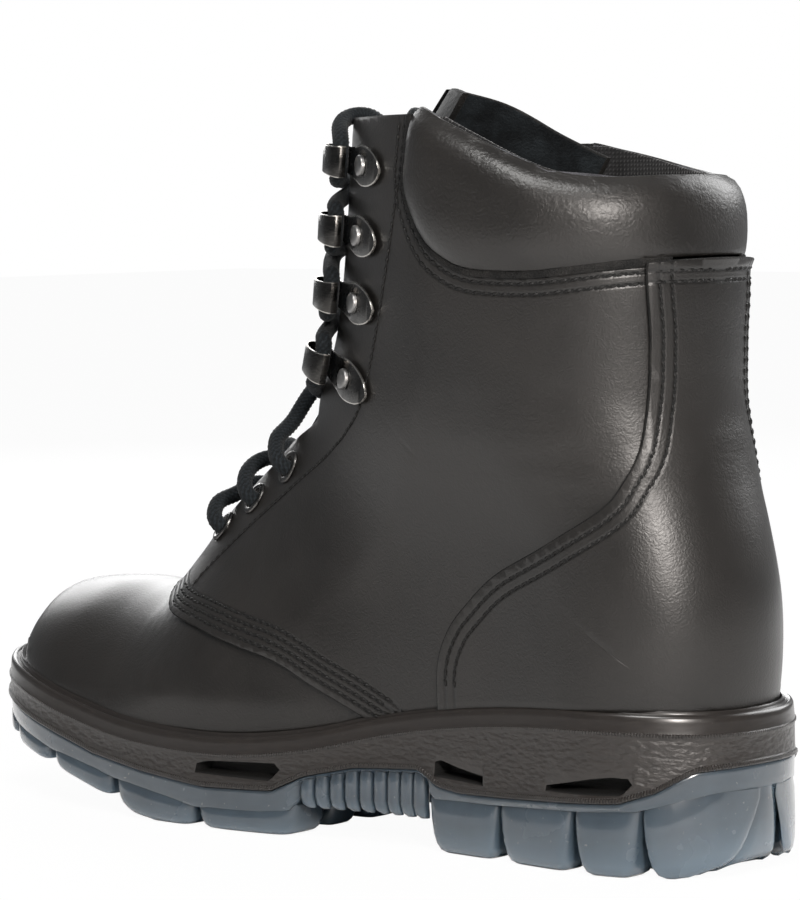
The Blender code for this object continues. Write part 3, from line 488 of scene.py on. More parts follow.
def place_of(tree, stretch=None):
    """Object coordinates, stretched along the axes when asked."""
    place = node(tree, "ShaderNodeTexCoord").outputs["Object"]
    if stretch:
        item = node(tree, "ShaderNodeMapping")
        feed(tree, item.inputs["Scale"], stretch)
        feed(tree, item.inputs["Vector"], place)
        place = item.outputs[0]
    return place


def finish(tree, shader, colour, rough, height, depth, strength=1.0):
    """Give a shader its colour, its roughness and a relief of a depth in metres."""
    item = node(tree, "ShaderNodeBump")
    for key, value in (("Distance", depth), ("Strength", strength), ("Height", height)):
        feed(tree, item.inputs[key], value)
    for key, value in (("Base Color", colour), ("Roughness", rough), ("Normal", item.outputs[0])):
        feed(tree, shader.inputs[key], value)


def attribute(tree, name):
    """Value that a mesh carries at its points."""
    return node(tree, "ShaderNodeAttribute", attribute_name=name).outputs["Fac"]


def new_group(name, inputs, outputs):
    """Empty node group with number inputs and named outputs."""
    group = bpy.data.node_groups.new(name, "ShaderNodeTree")
    for label, value in inputs:
        socket = group.interface.new_socket(label, in_out="INPUT", socket_type="NodeSocketFloat")
        socket.default_value = value
    for label in outputs:
        group.interface.new_socket(label, in_out="OUTPUT", socket_type="NodeSocketFloat")
    return group, group.nodes.new("NodeGroupInput"), group.nodes.new("NodeGroupOutput")


def make_grain():
    """Leather grain: small cells, finer pores and slow tone changes."""
    group, given, result = new_group("leather_grain", [("Cell scale", 850.0)],
                                     ["Height", "Tone", "Slow tone"])
    cells = node(group, "ShaderNodeTexVoronoi", feature="SMOOTH_F1")
    cells.inputs["Smoothness"].default_value = 0.6
    warp = noise_of(group, 260.0, 2.0)
    mixed = node(group, "ShaderNodeMix", data_type="VECTOR")
    for socket, value in ((mixed.inputs[0], 0.004), (mixed.inputs[4], place_of(group)),
                          (mixed.inputs[5], warp.outputs["Color"]),
                          (cells.inputs["Vector"], mixed.outputs[1]),
                          (cells.inputs["Scale"], given.outputs["Cell scale"])):
        feed(group, socket, value)
    fine = noise_of(group, 2600.0, 4.0).outputs["Fac"]
    slow = noise_of(group, 26.0, 4.0).outputs["Fac"]
    height = plus(group, times(group, cells.outputs["Distance"], -0.9), times(group, fine, 0.35))
    for key, value in (("Height", height), ("Tone", fine), ("Slow tone", slow)):
        feed(group, result.inputs[key], value)
    return group


def make_channels():
    """Two sewn rows at set distances from an edge: how deep the leather is drawn in under them."""
    group, given, result = new_group("sewn_rows", [("Distance", FAR), ("First row", 0.003),
                                                   ("Second row", 0.006)], ["Depth"])
    rows = []
    for key in ("First row", "Second row"):
        away = maths(group, "SUBTRACT", given.outputs["Distance"], given.outputs[key])
        rows.append(between(group, maths(group, "ABSOLUTE", away), 0.0, CHANNEL_HALF, 1.0, 0.0))
    feed(group, result.inputs["Depth"], maths(group, "MAXIMUM", *rows))
    return group


def make_fuzz():
    """Nap of suede and brushed cloth."""
    group, given, result = new_group("short_nap", [("Scale", 1500.0)], ["Height", "Patches"])
    fibres = noise_of(group, 1500.0, 6.0)
    patches = noise_of(group, 120.0, 5.0).outputs["Fac"]
    feed(group, fibres.inputs["Scale"], given.outputs["Scale"])
    feed(group, result.inputs["Height"], fibres.outputs["Fac"])
    feed(group, result.inputs["Patches"], between(group, patches, 0.35, 0.7))
    return group


def make_scuffs():
    """Thin scratches and dust for metal, rubber and hard plastic."""
    group, given, result = new_group("scuffs_and_dust", [("Scale", 300.0)], ["Scuffs", "Dust"])
    streaks = noise_of(group, 300.0, 5.0, place_of(group, (1.0, 1.0, 7.0)))
    specks = noise_of(group, 700.0, 2.0).outputs["Fac"]
    feed(group, streaks.inputs["Scale"], given.outputs["Scale"])
    feed(group, result.inputs["Scuffs"], between(group, streaks.outputs["Fac"], 0.45, 0.75))
    feed(group, result.inputs["Dust"], between(group, specks, 0.70, 0.78))
    return group


GRAIN = make_grain()
CHANNELS = make_channels()
FUZZ = make_fuzz()
SCUFFS = make_scuffs()


def use(tree, group, **values):
    """Place a node group in a material and give it its values; returns its outputs."""
    item = node(tree, "ShaderNodeGroup", node_tree=group)
    for key, value in values.items():
        feed(tree, item.inputs[key.replace("_", " ")], value)
    return item.outputs


# Seam, and how far from it its two rows run, in metres.
SEAMS = [("vamp_seam", 0.0026, 0.0050), ("vamp_seam", 0.0074, 0.0098), ("collar_seam", 0.0034, 0.0066),
         ("back_seam", 0.0034, 0.0070), ("stay_seam", 0.0, 0.0)]


DRESSED_BLACK = (0.0125, 0.0113, 0.0103)


def smooth_leather(name, base=DRESSED_BLACK, rough=0.36, cells=1300.0, depth=0.00006, sewn=True, coat=0.12):
    """Black dressed leather: fine grain, worn tone, creases and sewn channels darkened with painted shade."""
    item, tree, shader = material(name, Coat_Weight=coat, Coat_Roughness=0.30, Specular_IOR_Level=0.45)
    grain = use(tree, GRAIN, Cell_scale=cells)
    wrinkle = noise_of(tree, 95.0, 6.0, place_of(tree, (1.0, 1.0, 3.4))).outputs["Fac"]
    wrinkle_fine = noise_of(tree, 420.0, 4.0, place_of(tree, (1.0, 1.0, 2.0))).outputs["Fac"]
    folds = times(tree, attribute(tree, "crease"), plus(tree, times(tree, wrinkle, 5.0),
                                                        times(tree, wrinkle_fine, 3.2)))
    height = plus(tree, grain["Height"], folds)
    tone = plus(tree, times(tree, grain["Slow tone"], 0.8), times(tree, grain["Tone"], 0.3))
    colour = blend_colours(tree, between(tree, tone, 0.3, 0.8), tuple(v * 0.75 for v in base),
                           tuple(v * 1.35 for v in base))
    if sewn:
        dark = 0.0
        for seam, first, second in SEAMS:
            row = use(tree, CHANNELS, Distance=attribute(tree, seam), First_row=first, Second_row=second)
            dark = maths(tree, "MAXIMUM", dark, row["Depth"])
        height = maths(tree, "SUBTRACT", height, times(tree, dark, 3.2))
        # The sewn channels are darkened towards near black: painted shade in the grooves under the rows.
        colour = blend_colours(tree, times(tree, dark, 0.65), colour, (0.003, 0.003, 0.003))
    shine = between(tree, tone, 0.25, 0.85, rough - 0.06, rough + 0.08)
    finish(tree, shader, colour, shine, height, depth, 0.9)
    return item


def raw_edge():
    """Cut, inked edge of the leather."""
    item, tree, shader = material("raw_leather_edge", Specular_IOR_Level=0.3)
    nap = use(tree, FUZZ, Scale=1900.0)
    finish(tree, shader, blend_colours(tree, nap["Patches"], (0.004, 0.004, 0.004), (0.016, 0.015, 0.014)),
           between(tree, nap["Height"], 0.3, 0.7, 0.7, 0.95), nap["Height"], 0.0005)
    return item


def suede(name, low, high, scale=1300.0, depth=0.0007, sheen=0.35):
    """Napped leather, or foam with the same short nap."""
    item, tree, shader = material(name, Sheen_Weight=sheen, Sheen_Roughness=0.4, Specular_IOR_Level=0.2,
                                  Sheen_Tint=(0.55, 0.65, 0.75))
    nap = use(tree, FUZZ, Scale=scale)
    finish(tree, shader, blend_colours(tree, nap["Patches"], low, high),
           between(tree, nap["Height"], 0.2, 0.8, 0.8, 1.0),
           plus(tree, nap["Height"], times(tree, nap["Patches"], 0.5)), depth)
    return item


def metal(name, low, high, rough=0.25, worn=(0.75, 0.73, 0.70), wear=0.12):
    """Plated metal with scratches and worn places."""
    item, tree, shader = material(name, Metallic=1.0)
    marks = use(tree, SCUFFS, Scale=420.0)
    slow = noise_of(tree, 160.0, 3.0).outputs["Fac"]
    colour = blend_colours(tree, slow, low, high)
    colour = blend_colours(tree, times(tree, marks["Scuffs"], wear), colour, worn)
    finish(tree, shader, colour, between(tree, slow, 0.3, 0.7, rough - 0.06, rough + 0.12),
           marks["Scuffs"], 0.000008)
    return item


def cloth(name, low, high, threads=1400.0):
    """Woven lining cloth."""
    item, tree, shader = material(name, Specular_IOR_Level=0.2, Sheen_Weight=0.2)
    waves = []
    for way in ("X", "Z"):
        wave = node(tree, "ShaderNodeTexWave", wave_type="BANDS", bands_direction=way)
        for key, value in (("Scale", threads / 6.0), ("Distortion", 1.2), ("Vector", place_of(tree))):
            feed(tree, wave.inputs[key], value)
        waves.append(wave.outputs["Fac"])
    weave = times(tree, *waves)
    nap = use(tree, FUZZ, Scale=900.0)
    finish(tree, shader, blend_colours(tree, nap["Patches"], low, high),
           between(tree, weave, 0.0, 1.0, 0.95, 0.75), plus(tree, weave, nap["Height"]), 0.0003)
    return item


TOOTH_PITCH = 0.00095            # of the serrated lip, in metres


def foamed_sole():
    """Brown-black foamed polyurethane: leathery grain on the side wall, smooth bead, serrated lip."""
    item, tree, shader = material("midsole_foam", Specular_IOR_Level=0.55, Coat_Weight=0.25,
                                  Coat_Roughness=0.22)
    wall = attribute(tree, "wall")
    cells = node(tree, "ShaderNodeTexVoronoi", feature="SMOOTH_F1")
    feed(tree, cells.inputs["Scale"], 430.0)
    feed(tree, cells.inputs["Vector"], place_of(tree, (1.0, 1.0, 1.9)))
    lumps = noise_of(tree, 300.0, 5.0, place_of(tree, (1.0, 1.0, 2.2))).outputs["Fac"]
    skin = plus(tree, times(tree, cells.outputs["Distance"], -1.2), times(tree, lumps, 2.2))
    teeth = maths(tree, "SINE", times(tree, attribute(tree, "around"), 2 * math.pi / TOOTH_PITCH))
    lip = times(tree, times(tree, attribute(tree, "lip"), teeth), 0.7)
    height = plus(tree, times(tree, wall, skin), lip)
    marks = use(tree, SCUFFS, Scale=180.0)
    colour = blend_colours(tree, lumps, (0.009, 0.0072, 0.0062), (0.022, 0.0175, 0.0148))
    colour = blend_colours(tree, times(tree, marks["Dust"], 0.10), colour, (0.30, 0.28, 0.25))
    rough = plus(tree, between(tree, wall, 0.0, 1.0, 0.30, 0.40), times(tree, marks["Scuffs"], 0.10))
    finish(tree, shader, colour, rough, height, 0.00032)
    return item


def clear_tread():
    """Smoky blue-grey translucent tread compound, a little dusty."""
    item, tree, shader = material("smoky_tread", Subsurface_Weight=0.5, Subsurface_Scale=0.010,
                                  Coat_Weight=0.8, Coat_Roughness=0.10, Specular_IOR_Level=0.55)
    shader.inputs["Subsurface Radius"].default_value = (0.7, 0.85, 1.0)
    slow = noise_of(tree, 60.0, 4.0).outputs["Fac"]
    marks = use(tree, SCUFFS, Scale=120.0)
    colour = blend_colours(tree, slow, (0.024, 0.036, 0.048), (0.062, 0.084, 0.106))
    # Paler towards the tread's lower edges and darker up in the grooves: painted light low down, painted
    # shade in the grooves.
    colour = blend_colours(tree, times(tree, attribute(tree, "painted_pale_low_edge"), 0.6), colour, (0.13, 0.185, 0.235))
    colour = blend_colours(tree, times(tree, marks["Dust"], 0.3), colour, (0.36, 0.34, 0.31))
    finish(tree, shader, colour, plus(tree, times(tree, slow, 0.12), 0.20), slow, 0.0004)
    return item


def braid():
    """Braided lace: blue-black yarn, paler on the raised crowns of its strands."""
    item, tree, shader = material("braided_yarn", Specular_IOR_Level=0.25, Sheen_Weight=0.06,
                                  Sheen_Roughness=0.5)
    fibres = noise_of(tree, 3200.0, 3.0).outputs["Fac"]
    tone = plus(tree, times(tree, attribute(tree, "crown"), 0.7), times(tree, fibres, 0.4))
    colour = blend_colours(tree, between(tree, tone, 0.2, 1.0), (0.0012, 0.0020, 0.0028),
                           (0.010, 0.016, 0.021))
    finish(tree, shader, colour, between(tree, tone, 0.0, 1.0, 0.9, 0.6), fibres, 0.00025)
    return item


def thread():
    """Waxed sewing thread."""
    item, tree, shader = material("waxed_thread", Specular_IOR_Level=0.25)
    fibres = noise_of(tree, 3000.0, 3.0).outputs["Fac"]
    finish(tree, shader, blend_colours(tree, fibres, (0.003, 0.003, 0.003), (0.014, 0.0135, 0.013)),
           between(tree, fibres, 0.3, 0.7, 0.35, 0.6), fibres, 0.0001)
    return item


def hard_inside(name, low, high, rough):
    """Plain hard or dark surface for pieces that hardly show."""
    item, tree, shader = material(name)
    marks = use(tree, SCUFFS, Scale=200.0)
    slow = noise_of(tree, 90.0, 4.0).outputs["Fac"]
    finish(tree, shader, blend_colours(tree, slow, low, high),
           between(tree, marks["Scuffs"], 0.0, 1.0, rough, rough + 0.15), marks["Scuffs"], 0.00005)
    return item


LEATHER_LOOK = smooth_leather("black_leather")
COLLAR_LOOK = smooth_leather("soft_collar_leather", DRESSED_BLACK, 0.36, 900.0, 0.00009, False)
EDGE_LOOK = raw_edge()
SUEDE_LOOK = suede("blue_black_suede", (0.0030, 0.0038, 0.0045), (0.014, 0.0175, 0.0200), sheen=0.25)
GUSSET_LOOK = smooth_leather("soft_gusset_leather", (0.004, 0.004, 0.004), 0.7, 600.0, 0.0002, False, 0.0)
LINING_LOOK = cloth("dark_lining_cloth", (0.006, 0.006, 0.0065), (0.015, 0.015, 0.016))
FOOTBED_LOOK = cloth("footbed_cloth", (0.020, 0.021, 0.024), (0.055, 0.056, 0.060), 1000.0)
HOOK_LOOK = metal("black_nickel", (0.035, 0.034, 0.033), (0.085, 0.082, 0.078), 0.24, (0.40, 0.39, 0.37))
# Paler metal on the hooks' rounded edges and ends: a painted highlight.
HOOK_EDGE_HIGHLIGHT_LOOK = metal("hook_edge_painted_highlight", (0.30, 0.29, 0.27), (0.50, 0.48, 0.45), 0.25)
RIVET_LOOK = metal("satin_rivet_steel", (0.20, 0.20, 0.20), (0.32, 0.315, 0.31), 0.38, (0.55, 0.54, 0.52))
EYELET_LOOK = metal("dull_eyelet_metal", (0.06, 0.058, 0.055), (0.16, 0.155, 0.15), 0.28, (0.6, 0.58, 0.55))
PLAIN_STEEL = metal("plain_steel", (0.45, 0.46, 0.47), (0.6, 0.6, 0.61), 0.35)
MIDSOLE_LOOK = foamed_sole()
TREAD_LOOK = clear_tread()
LACE_LOOK = braid()
THREAD_LOOK = thread()
RECESS_LOOK = hard_inside("recess_shadow_grey", (0.0015, 0.0014, 0.0013), (0.004, 0.0035, 0.003), 0.75)
# Near-black plugs standing for the needle holes: painted shade.
HOLE_SHADE_LOOK = hard_inside("needle_hole_painted_shade", (0.001, 0.001, 0.001), (0.003, 0.003, 0.003), 0.9)
BOARD_LOOK = hard_inside("fibre_board", (0.060, 0.045, 0.032), (0.10, 0.075, 0.055), 0.85)
STIFFENER_LOOK = hard_inside("moulded_stiffener", (0.06, 0.06, 0.06), (0.10, 0.10, 0.10), 0.5)
FOAM_LOOK = suede("collar_padding", (0.05, 0.05, 0.055), (0.11, 0.11, 0.12), 900.0, 0.0006, 0.1)
AGLET_LOOK = hard_inside("aglet_plastic", (0.008, 0.008, 0.009), (0.02, 0.02, 0.022), 0.2)


# ---------------------------------------------------------------- making pieces
def add(name, points, faces, looks, body, stands_for=(), smooth_angle=45, data=None, pick=None):
    """Mesh piece from points in millimetres, riding on a body. pick gives each face its look's number."""
    mesh = bpy.data.meshes.new(name)
    mesh.from_pydata((np.asarray(points, float) * MM).tolist(), [], [list(map(int, f)) for f in faces])
    for key, values in (data or {}).items():
        layer = mesh.attributes.new(key, "FLOAT", "POINT")
        layer.data.foreach_set("value", np.asarray(values, np.float32))
    for look in looks:
        mesh.materials.append(look)
    if pick is not None:
        mesh.polygons.foreach_set("material_index", np.asarray(pick, np.int32))
    mesh.update()
    mesh.shade_smooth()
    mesh.set_sharp_from_angle(angle=math.radians(smooth_angle))
    obj = bpy.data.objects.new(name, mesh)
    bpy.context.scene.collection.objects.link(obj)
    if body:
        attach(obj, body)
    if stands_for:
        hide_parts(*stands_for)
    return obj


def mend(obj, weld=0.0, collapse=False):
    """Weld points closer than weld millimetres, drop edges that have no length, and turn faces outward."""
    work = bmesh.new()
    work.from_mesh(obj.data)
    if weld:
        bmesh.ops.remove_doubles(work, verts=work.verts, dist=weld * MM)
    if collapse:
        bmesh.ops.dissolve_degenerate(work, edges=work.edges, dist=weld * MM)
    bmesh.ops.recalc_face_normals(work, faces=work.faces)
    work.to_mesh(obj.data)
    work.free()


def tube(first, rings, sides):
    """Faces of a closed tube whose rings of points follow one another, with a cap at each end."""
    faces = []
    for low in range(first, first + (rings - 1) * sides, sides):
        for t in range(sides):
            u = (t + 1) % sides
            faces.append([low + t, low + u, low + sides + u, low + sides + t])
    faces.append([first + t for t in reversed(range(sides))])
    faces.append([first + (rings - 1) * sides + t for t in range(sides)])
    return faces


def circle(sides):
    """Angles of the points round a ring."""
    return [2 * math.pi * t / sides for t in range(sides)]


def reach_from(line, data):
    """Distance over the last in metres from a pattern line for each point of a sheet."""
    dense = curve(line, 1.0)
    away = np.full(len(data), 1e6)
    for side in (-1.0, 1.0):
        solid = world(side, dense[:, 0], dense[:, 1])
        here = np.where(data[:, 3] * side >= -0.5)[0]
        for part in np.array_split(here, max(1, len(here) // 2000)):
            gap = np.linalg.norm(data[part, None, 2:5] - solid[None], axis=2).min(1)
            away[part] = np.minimum(away[part], gap)
    return away * MM


def bumps(points, size, seed=0.0, stretch=(1, 1, 1)):
    """Smooth random height between about -1 and 1 at each point, with features of a size in mm."""
    scale = Vector(stretch) / size
    return np.array([noise.noise(Vector((x * scale[0] + seed, y * scale[1], z * scale[2])))
                     for x, y, z in points])


def soft_form(data):
    """How far worn leather lies above or below its pattern: slow swells and ankle folds."""
    p = data[:, 2:5]
    a, z = data[:, 0], data[:, 1]
    swell = 0.30 * bumps(p, 46) + 0.08 * bumps(p, 18, 5.0)
    ankle = np.exp(-((z - 126) / 17) ** 2) * np.clip((a - 4) / 12, 0, 1) * np.clip((118 - a) / 45, 0, 1)
    folds = bumps(p, 9, 9.0, (0.35, 0.35, 1.3)) * 0.28 + bumps(p, 4.5, 2.0, (0.3, 0.3, 1.2)) * 0.09
    flex = np.exp(-((a - 205) / 16) ** 2) * np.clip((66 - z) / 16, 0, 1)
    flex_folds = 0.22 * bumps(p, 8, 4.0, (1.4, 0.5, 0.4))
    return swell + ankle * folds + flex * flex_folds


def crease_of(data):
    """How wrinkled the leather is: most round the ankle."""
    a, z = data[:, 0], data[:, 1]
    ankle = np.exp(-((z - 124) / 15) ** 2) * np.clip((105 - a) / 40, 0, 1)
    return 0.03 + 0.5 * ankle


SEAM_NAMES = ("vamp_seam", "collar_seam", "back_seam", "stay_seam")


# A cut edge's rings: part of the thickness down from the outer face, and part of the rounding.
EDGE_ROUND = ((0.12, 0.75), (0.38, 1.0), (0.8, 0.9))


def panel(name, sheet, faces_at, looks, body, stands_for, form=soft_form, seams=None, round_edge=0.35,
          shift=None, crease=crease_of):
    """Leather or cloth panel with a real thickness and a rounded cut edge."""
    data, faces = sheet
    inner, outer = faces_at
    form_of = form(data) if form else np.zeros(len(data))
    at = [np.broadcast_to(v(data[:, 0], data[:, 1], data[:, 3]) if callable(v) else v, len(data)) + form_of
          for v in (outer, inner)]
    normal = data[:, 5:8] / np.linalg.norm(data[:, 5:8], axis=1)[:, None]
    base = data[:, 2:5]
    n = len(data)
    edges = {(i, j) for face in faces for i, j in zip(face, face[1:] + face[:1])}
    rim = [(i, j) for i, j in edges if (j, i) not in edges]
    out = np.zeros((n, 3))
    for i, j in rim:
        away = np.cross(base[j] - base[i], normal[i])
        size = np.linalg.norm(away)
        if size > 1e-6:
            out[i] += away / size
            out[j] += away / size
    size = np.linalg.norm(out, axis=1)
    out[size > 0] /= size[size > 0][:, None]
    thick = (at[0] - at[1])[:, None]
    upper = base + normal * at[0][:, None]
    lower = base + normal * at[1][:, None]
    on_rim = sorted({i for pair in rim for i in pair})
    number = {i: k for k, i in enumerate(on_rim)}
    loops = []
    for part, push in EDGE_ROUND:
        loops.append((upper - normal * thick * part + out * round_edge * push)[on_rim])
    m = len(on_rim)
    points = np.vstack([upper, lower] + loops)
    if shift:
        points = points + shift(points)
    all_faces = [list(f) for f in faces] + [[i + n for i in reversed(f)] for f in faces]
    pick = [0] * len(faces) + [1] * len(faces)
    rings = [{i: i for i in on_rim}]
    rings += [{i: 2 * n + r * m + number[i] for i in on_rim} for r in range(len(EDGE_ROUND))]
    rings.append({i: i + n for i in on_rim})
    for first, second in zip(rings[:-1], rings[1:]):
        for i, j in rim:
            all_faces.append([first[j], first[i], second[i], second[j]])
            pick.append(2)
    values = {key: np.full(n, FAR) for key in SEAM_NAMES}
    values["crease"] = crease(data) if crease else np.zeros(n)
    for key, value in (seams or {}).items():
        values[key] = value
    spread = {key: np.concatenate([v, v] + [v[on_rim]] * len(EDGE_ROUND)) for key, v in values.items()}
    return add(name, points, all_faces, looks, body, stands_for, 60, spread, pick)


PROBE = 0.15                     # step for reading a direction off the last
TINY = 1e-9                      # keeps a division away from nought


def spots_along(line, pitch, side, start, end):
    """Evenly spaced surface points with direction and normal along a side-view line."""
    dense = curve(line, 1.0)
    at = lengths(world(side, dense[:, 0], dense[:, 1]))
    stops = np.arange(at[0] + start, at[-1] - end, pitch)

    def surface(flat):
        return world(side, flat[:, 0], flat[:, 1])
    flat = np.stack([np.interp(stops, at, dense[:, k]) for k in (0, 1)], 1)
    ahead = np.stack([np.interp(stops + 0.6, at, dense[:, k]) for k in (0, 1)], 1)
    run = ahead - flat
    run /= np.linalg.norm(run, axis=1)[:, None] + TINY
    here = surface(flat)
    along = surface(flat + run * PROBE) - here
    across = surface(flat + np.stack([-run[:, 1], run[:, 0]], 1) * PROBE) - here
    along /= np.linalg.norm(along, axis=1)[:, None] + TINY
    out = np.cross(along, across)
    out /= np.linalg.norm(out, axis=1)[:, None] + TINY
    out *= np.where(out[:, 1] * side < 0, -1.0, 1.0)[:, None]
    return here, along, out


def offset_line(line, distance, side):
    """Side-view line moved to its left by a distance measured over the last."""
    dense = curve(line, 2.0)
    run = np.gradient(dense, axis=0)
    run /= np.linalg.norm(run, axis=1)[:, None]
    aside = np.stack([-run[:, 1], run[:, 0]], 1) * np.sign(distance)
    steps = np.arange(0, abs(distance) + 0.3, 0.2)
    spots = dense[:, None] + aside[:, None] * steps[:, None]
    solid = world(side, spots[..., 0], spots[..., 1])
    gone = np.cumsum(np.linalg.norm(np.diff(solid, axis=1), axis=2), axis=1)
    moved = [np.interp(abs(distance), np.append(0, far), steps) for far in gone]
    return dense + aside * np.array(moved)[:, None]


STITCH = 3.3                     # length of a stitch with its hole
THREAD_HALF = 0.5                # half thickness of the sewing thread
THREAD_STEPS = (-1.0, -0.6, 0.0, 0.6, 1.0)
THREAD_SIDES = 6
HOLE_SIDES = 7


def stitches(name, rows, body):
    """Sewn rows: one twisted thread over each stitch and, between stitches, a near-black plug that paints the
    shade of the pricked hole.
    """
    points, faces, pick = [], [], []
    for centre, along, out, lift in rows:
        for middle, ahead, up in zip(centre, along, out):
            aside = np.cross(up, ahead)
            faces += tube(len(points), len(THREAD_STEPS), THREAD_SIDES)
            pick += [0] * (len(faces) - len(pick))
            for s in THREAD_STEPS:
                spine = middle + up * (lift + 0.05) + ahead * s * STITCH * 0.40 \
                    + up * (0.34 * (1 - s * s) - 0.28) + aside * s * 0.22
                fat = THREAD_HALF * (1 - 0.45 * s * s)
                for turn in circle(THREAD_SIDES):
                    turn += s * 0.9
                    points.append(spine + (aside * math.cos(turn) + up * math.sin(turn) * 0.85) * fat)
            faces += tube(len(points), 2, HOLE_SIDES)
            pick += [1] * (len(faces) - len(pick))
            spot = middle + ahead * STITCH * 0.5 + up * (lift + 0.04)
            for level, radius in ((0.0, 0.60), (-0.5, 0.45)):
                for turn in circle(HOLE_SIDES):
                    rim = ahead * math.cos(turn) + aside * math.sin(turn)
                    points.append(spot + up * level + rim * radius)
    obj = add(name, points, faces, [THREAD_LOOK, HOLE_SHADE_LOOK], body, pick=pick)
    mend(obj)
    return obj


def row_on(sheet_form, line, side, lift, pitch, start, end):
    """A sewn row lying on leather that has the same swells as its panel."""
    centre, along, out = spots_along(line, pitch, side, start, end)
    flat = np.zeros((len(centre), 8))
    flat[:, 0] = HALF_LENGTH - centre[:, 0]
    flat[:, 1] = centre[:, 2]
    flat[:, 2:5] = centre
    return centre + out * sheet_form(flat)[:, None], along, out, lift


# ---------------------------------------------------------------- the upper
whole = last_grid(190, 50)
half_of = {side: trim(whole, left_of(side)) for side in (-1, 1)}
WORDS = ((-1, "left"), (1, "right"))
LOOKS = [LEATHER_LOOK, LINING_LOOK, EDGE_LOOK]


def build_vamp():
    front = trim(whole, beyond(VAMP_EDGE))
    panel("vamp_leather", front, VAMP_FACES, LOOKS, "boot", ["vamp"])


def notched_throat(a, z, y):
    """Rule: outside the lacing edge, with its rounded step between the eyelets and the hooks."""
    step = 5.0 * np.exp(-((z - 131) / 5.0) ** 2)
    return np.maximum(np.abs(y) - through(THROAT_HALF, z) - step, -in_front(a, z, THROAT_DEPTH))


def build_quarters():
    top_face = QUARTER_FACES[1]
    for side, word in WORDS:
        half = trim(half_of[side], notched_throat)
        piece = trim(trim(half, beyond(QUARTER_EDGE, 0.0, -1.0)), beyond(COLLAR_EDGE, 0.8))
        piece = trim(piece, lambda a, z, y: np.minimum(under_facing_top(a, z, y), np.abs(y) - 1.0))
        data = piece[0]
        seams = {"vamp_seam": reach_from(QUARTER_EDGE, data), "collar_seam": reach_from(COLLAR_EDGE, data),
                 "stay_seam": reach_from(STAY_LINE, data)}
        panel("quarter_leather_" + word, piece, QUARTER_FACES, LOOKS, "boot", ["quarter_" + word],
              seams=seams)
        lining = trim(trim(half, beyond(VAMP_EDGE, 1.0, -1.0)), under_collar_top(0.2))
        lining = trim(lining, lambda a, z, y: np.minimum(under_facing_top(a, z, y) - 1, np.abs(y) - 0.1))
        panel("quarter_lining_cloth_" + word, lining, LINING_FACES, [LINING_LOOK] * 3, "boot",
              ["quarter_lining_" + word], form=None, crease=None)
        rows = []
        for distance in (2.6, 5.0, 7.4, 9.8):
            line = offset_line(QUARTER_EDGE, -distance, side)
            rows.append(row_on(soft_form, line[3:], side, top_face, 3.0, 3.0, 3.0))
        line = curve(STAY_LINE[:-1] + [(212, 74)], 2.0)
        keep = under_facing_top(line[:, 0], line[:, 1], side) > 1.5
        rows.append(row_on(soft_form, line[keep], side, top_face + 0.05, 2.9, 0.5, 1.0))
        for distance in (3.4, 6.6):
            line = offset_line(COLLAR_EDGE, distance, side)
            keep = (under_facing_top(line[:, 0], line[:, 1], side) > 1.5) & (line[:, 0] > 24)
            rows.append(row_on(soft_form, line[keep], side, top_face, STITCH, 1.0, 1.0))
        stitches("quarter_stitching_" + word, rows, "boot")


def backstay_form(data):
    """The backstay's top edge curls outward, clear of the collar."""
    return soft_form(data) + 1.7 * np.exp(-(np.maximum(BACKSTAY_TOP - data[:, 1], 0) / 2.6) ** 2)


def build_heel():
    back = trim(trim(whole, beyond(BACKSTAY_EDGE)), beyond(COLLAR_EDGE, 0.8))
    back = trim(back, lambda a, z, y: BACKSTAY_TOP - z)
    seams = {"back_seam": reach_from(BACKSTAY_EDGE, back[0]),
             "collar_seam": (BACKSTAY_TOP - back[0][:, 1]) * MM}
    panel("backstay_leather", back, BACKSTAY_FACES, LOOKS, "boot", ["backstay"],
          form=backstay_form, seams=seams, round_edge=0.5)
    top_face = BACKSTAY_FACES[1]
    rows = []
    for side, _ in WORDS:
        for distance in (3.4, 7.0):
            line = offset_line(BACKSTAY_EDGE, distance, side)
            keep = (line[:, 1] > 51) & (line[:, 1] < BACKSTAY_TOP - 3)
            rows.append(row_on(soft_form, line[keep], side, top_face, STITCH, 1.0, 1.0))
        for drop in (3.4, 6.6):
            level = BACKSTAY_TOP - drop
            seam = float(through(BACK, level)) + 0.03
            near = float(through([(z, a) for a, z in BACKSTAY_EDGE[-4:]], level)) - 1.2
            line = np.array([(a, level) for a in seam + (near - seam) * np.linspace(1, 0, 40) ** 2])
            rows.append(row_on(backstay_form, line, side, top_face, STITCH, 1.0, 0.5))
    stitches("backstay_stitching", rows, "boot")


def collar_height(a, z, y):
    """Padding under the collar's leather: full in the middle, rolled in at its top, pinched at its seam."""
    up = -nearest(curve(COLLAR_EDGE), a, z)[0]
    down = under_collar_top()(a, z, y)
    full = 1.9 + (1.3 + 4.3 * np.clip((a - 22) / 34, 0, 1)) * round_off(up / 15)
    return -2.0 + (full + 2.0) * round_off(down / 13, 2.3)


def collar_form(data):
    """Slow swells over the padding, and fine wrinkles where the leather rolls in at the top."""
    p = data[:, 2:5]
    down = under_collar_top()(data[:, 0], data[:, 1], data[:, 3])
    roll = np.exp(-(down / 9) ** 2)
    wrinkles = 0.16 * bumps(p, 6, 8.0, (0.8, 0.8, 1.4)) + 0.07 * bumps(p, 3, 1.0)
    return 0.30 * bumps(p, 24, 3.0) + roll * wrinkles


def collar_crease(data):
    """The collar is most wrinkled along its rolled top."""
    down = under_collar_top()(data[:, 0], data[:, 1], data[:, 3])
    return 0.05 + 0.55 * np.exp(-((down - 3) / 9) ** 2)


